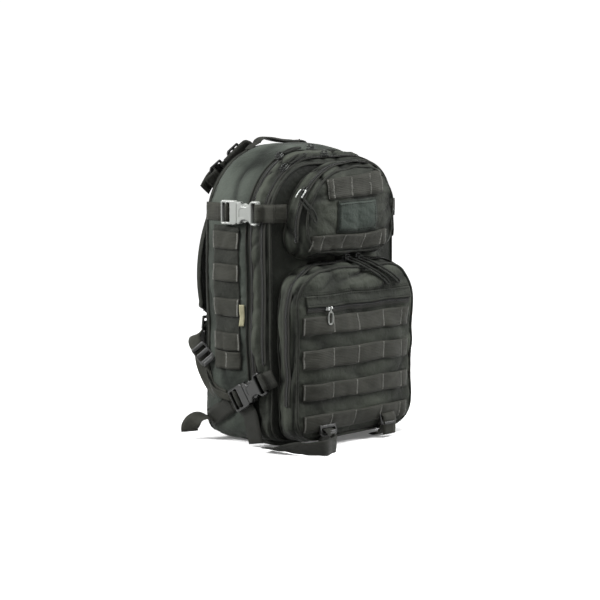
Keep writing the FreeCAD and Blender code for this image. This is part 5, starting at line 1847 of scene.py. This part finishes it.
def make_hook_pull(seat):
    """Hooked wire pull: a round bar under the slider's bridge and two flattened legs."""
    reach, height = 7.2, 6.15
    path = [(12.4, -reach + 1.2), (6, -reach + 1.2), (1.6, -reach + 1.3), (-0.2, -reach + 3.2), (-0.3, 0),
            (-0.2, reach - 3.2), (1.6, reach - 1.3), (6, reach - 1.2), (12.4, reach - 1.2)]
    line = spline([(x, y, height) for x, y in path], 0.8)
    points, faces, uvs = tube_mesh(placed(line, *seat), 1.2)
    piece("upper_pocket_hook_wire", points, faces, "silver", body="upper_pocket_hook_pull_body", uvs=uvs,
          replaces=("upper_pocket_hook_pull",), slot="bright_metal")


CORD = 3.0
LOWER_CORD = [(-2, -99, 264.5), (4, -109, 261), (19, -117, 252), (38, -119.5, 242), (56, -120, 231),
              (59, -120.5, 225), (54, -120.5, 224), (49, -119.8, 230), (32, -118.5, 241),
              (13, -116, 251), (-1, -108, 259), (-7, -99, 262)]
CORDS = {
    "lower_pull_cord_left": ([(x + 5, y, z) for x, y, z in LOWER_CORD], 162.1,
                             "lower_pocket_slider_left_body"),
    "lower_pull_cord_right": ([(x + 27, y, z) for x, y, z in LOWER_CORD], 162.1,
                              "lower_pocket_slider_right_body"),
    "upper_pull_cord": ([(-84, -90.9, 354.6), (-86.8, -92.5, 350), (-87, -99, 345), (-85.4, -107, 338),
                         (-82, -112.4, 329), (-80, -113, 321.5), (-76, -113.2, 318.3),
                         (-72.8, -113, 321.5), (-75, -112.8, 328.5), (-80, -113.6, 335.5),
                         (-83.4, -109, 342), (-84.6, -101.6, 348.2), (-83.8, -95.6, 353.8)], 93.4,
                        "upper_pocket_slider_left_body"),
    "main_pull_cord": ([(-66.3, -35, 413.3), (-58, -33.4, 416), (-46, -29.5, 418.2), (-34, -26.2, 419.4),
                        (-28.3, -28.8, 419.6), (-30, -34.5, 419.6), (-41, -38.6, 419),
                        (-53, -40.4, 416.8), (-63, -39.6, 413.4), (-66.4, -38.6, 412.2)], 83.1,
                       "main_slider_left_body"),
    "second_pull_cord": ([(-75.3, -55.8, 399.8), (-66, -54.2, 405), (-55, -50.5, 409.3),
                          (-44, -47.8, 411), (-38.3, -50.2, 411.2), (-39, -55.8, 411.2),
                          (-49, -59.4, 409.2), (-60, -60.6, 405.4), (-70.5, -60.4, 400.6),
                          (-74.8, -59.6, 398.2)], 83.9, "second_slider_left_body"),
}


def make_cords():
    """Braided cord pulls, each a closed loop on its slider."""
    for node, (route, length, body) in CORDS.items():
        curve = bpy.data.curves.new(node + "_line", "CURVE")
        curve.dimensions = "3D"
        path = curve.splines.new("NURBS")
        path.points.add(len(route) - 1)
        for point, place in zip(path.points, route):
            point.co = (*(np.array(place) * MM), 1)
        path.order_u = 3
        path.use_endpoint_u = True
        path.resolution_u = 12
        curve.bevel_depth = CORD / 2 * MM
        curve.bevel_resolution = 5
        curve.use_fill_caps = True
        curve.materials.append(MATERIALS["cord"])
        cord = bpy.data.objects.new(node + "_braid", curve)
        bpy.context.scene.collection.objects.link(cord)
        settle(cord, body, (node,), "cord")
        tuple(np.array(route[0]) * MM)


# --- Studio -----------------------------------------------------------------------------------

LOOK_AT = np.array([0, 0, 0.195])
CAMERA_AZIMUTH, CAMERA_ELEVATION, CAMERA_FAR, CAMERA_LENS = -43.0, 7.0, 2.40, 97.9


def heading(azimuth, elevation):
    """Unit vector from the object towards a place round it; azimuth 0 is in front, 90 its +X side."""
    a, e = math.radians(azimuth), math.radians(elevation)
    return np.array([math.sin(a) * math.cos(e), -math.cos(a) * math.cos(e), math.sin(e)])


def aimed(obj, place, target):
    obj.location = Vector(place)
    obj.rotation_euler = Vector(np.array(target) - np.array(place)).to_track_quat("-Z", "Y").to_euler()
    bpy.context.scene.collection.objects.link(obj)


def softbox(name, azimuth, elevation, far, size, power):
    lamp = bpy.data.lights.new(name, "AREA")
    lamp.shape = "RECTANGLE"
    lamp.size, lamp.size_y = size
    lamp.energy = power
    aimed(bpy.data.objects.new(name, lamp), LOOK_AT + heading(azimuth, elevation) * far, LOOK_AT)


def make_floor():
    """Round pale floor that turns up into a wall far away, so that no horizon shows."""
    bend = np.linspace(0.1, math.pi / 2, 14)
    radii = np.concatenate([np.linspace(0.3, 5, 12), 5 + 3 * np.sin(bend)])
    heights = np.concatenate([np.zeros(12), 3 - 3 * np.cos(bend)])
    sides = 64
    rows = [np.array([(r * math.cos(a), r * math.sin(a), h) for a in turns(sides)])
            for r, h in zip(radii, heights)]
    points = np.vstack([*rows, [(0, 0, 0)]])
    faces = [(sides * len(rows), i, (i + 1) % sides) for i in range(sides)]
    faces += [(a, d, c, b) for a, b, c, d in tube_faces(len(rows), sides)]
    mesh = bpy.data.meshes.new("studio_floor")
    mesh.from_pydata([tuple(p) for p in points], [], faces)
    mesh.polygons.foreach_set("use_smooth", [True] * len(mesh.polygons))
    floor = bpy.data.objects.new("studio_floor", mesh)
    # The paper glows more away from the bag, so that floor and wall are one pale tone.
    n = Nodes("studio_paper")
    place = n.add("ShaderNodeTexCoord").outputs["Object"]
    distance = n.add("ShaderNodeVectorMath", operation="LENGTH")
    n.link(place, distance.inputs[0])
    away = n.add("ShaderNodeMapRange", interpolation_type="SMOOTHSTEP")
    n.link(distance.outputs["Value"], away.inputs["Value"])
    for name, value in (("From Min", 0.25), ("From Max", 3.0), ("To Min", 0.12), ("To Max", 0.75)):
        away.inputs[name].default_value = value
    n.set(Base_Color=(0.93, 0.93, 0.93), Roughness=0.9, Emission_Color=(1.0, 1.0, 1.0),
          Emission_Strength=away.outputs["Result"])
    mesh.materials.append(n.material)
    bpy.context.scene.collection.objects.link(floor)
    floor.visible_diffuse = False


def make_studio():
    """Floor, soft lamps, and the camera at the photo's angle."""
    make_floor()
    world = bpy.data.worlds.new("studio")
    world.use_nodes = True
    background = world.node_tree.nodes["Background"].inputs
    background["Color"].default_value = (1, 1, 1, 1)
    background["Strength"].default_value = 0.29
    bpy.context.scene.world = world
    bpy.context.scene.view_settings.view_transform = "Standard"
    softbox("key_left", -112, 30, 1.6, (0.4, 0.7), 38)
    softbox("front_fill", -36, 58, 2.2, (0.4, 0.4), 20)
    softbox("rim_right", 50, 30, 1.7, (0.3, 0.8), 28)
    softbox("top", 20, 70, 1.7, (0.6, 0.6), 26)

    camera = bpy.data.cameras.new("camera")
    camera.lens, camera.sensor_width = CAMERA_LENS, 36
    holder = bpy.data.objects.new("camera", camera)
    aimed(holder, LOOK_AT + heading(CAMERA_AZIMUTH, CAMERA_ELEVATION) * CAMERA_FAR, LOOK_AT)
    bpy.context.scene.camera = holder


def finish_frame_sheet():
    """The stiffening sheet inside the back keeps its CAD shape and gets its plastic."""
    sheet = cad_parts["frame_sheet"]
    sheet.data.materials.clear()
    sheet.data.materials.append(MATERIALS["sheet"])


rear_tree = tree_of(make_rear())
second_tree = tree_of(make_second())
upper_tree = tree_of(make_upper_pocket())
lower_tree = tree_of(make_lower_pocket())
make_base()
make_zippers(rear_tree, second_tree, upper_tree, lower_tree)
make_piping(rear_tree, second_tree, upper_tree, lower_tree)
make_face_webbing(upper_tree, lower_tree)
make_patch(upper_tree)
make_slash_pocket(lower_tree)
make_side_webbing(rear_tree)
make_tag(rear_tree)
make_buckles((rear_tree, second_tree))
make_strap_tails()
make_side_wings(rear_tree)
make_waist_tails()
make_lash_straps()
make_handle()
make_shoulder_pads()
make_harness_webbing(rear_tree)
make_sternum_strap()
make_back()
make_yoke()
make_sliders()
make_cords()
finish_frame_sheet()
make_studio()
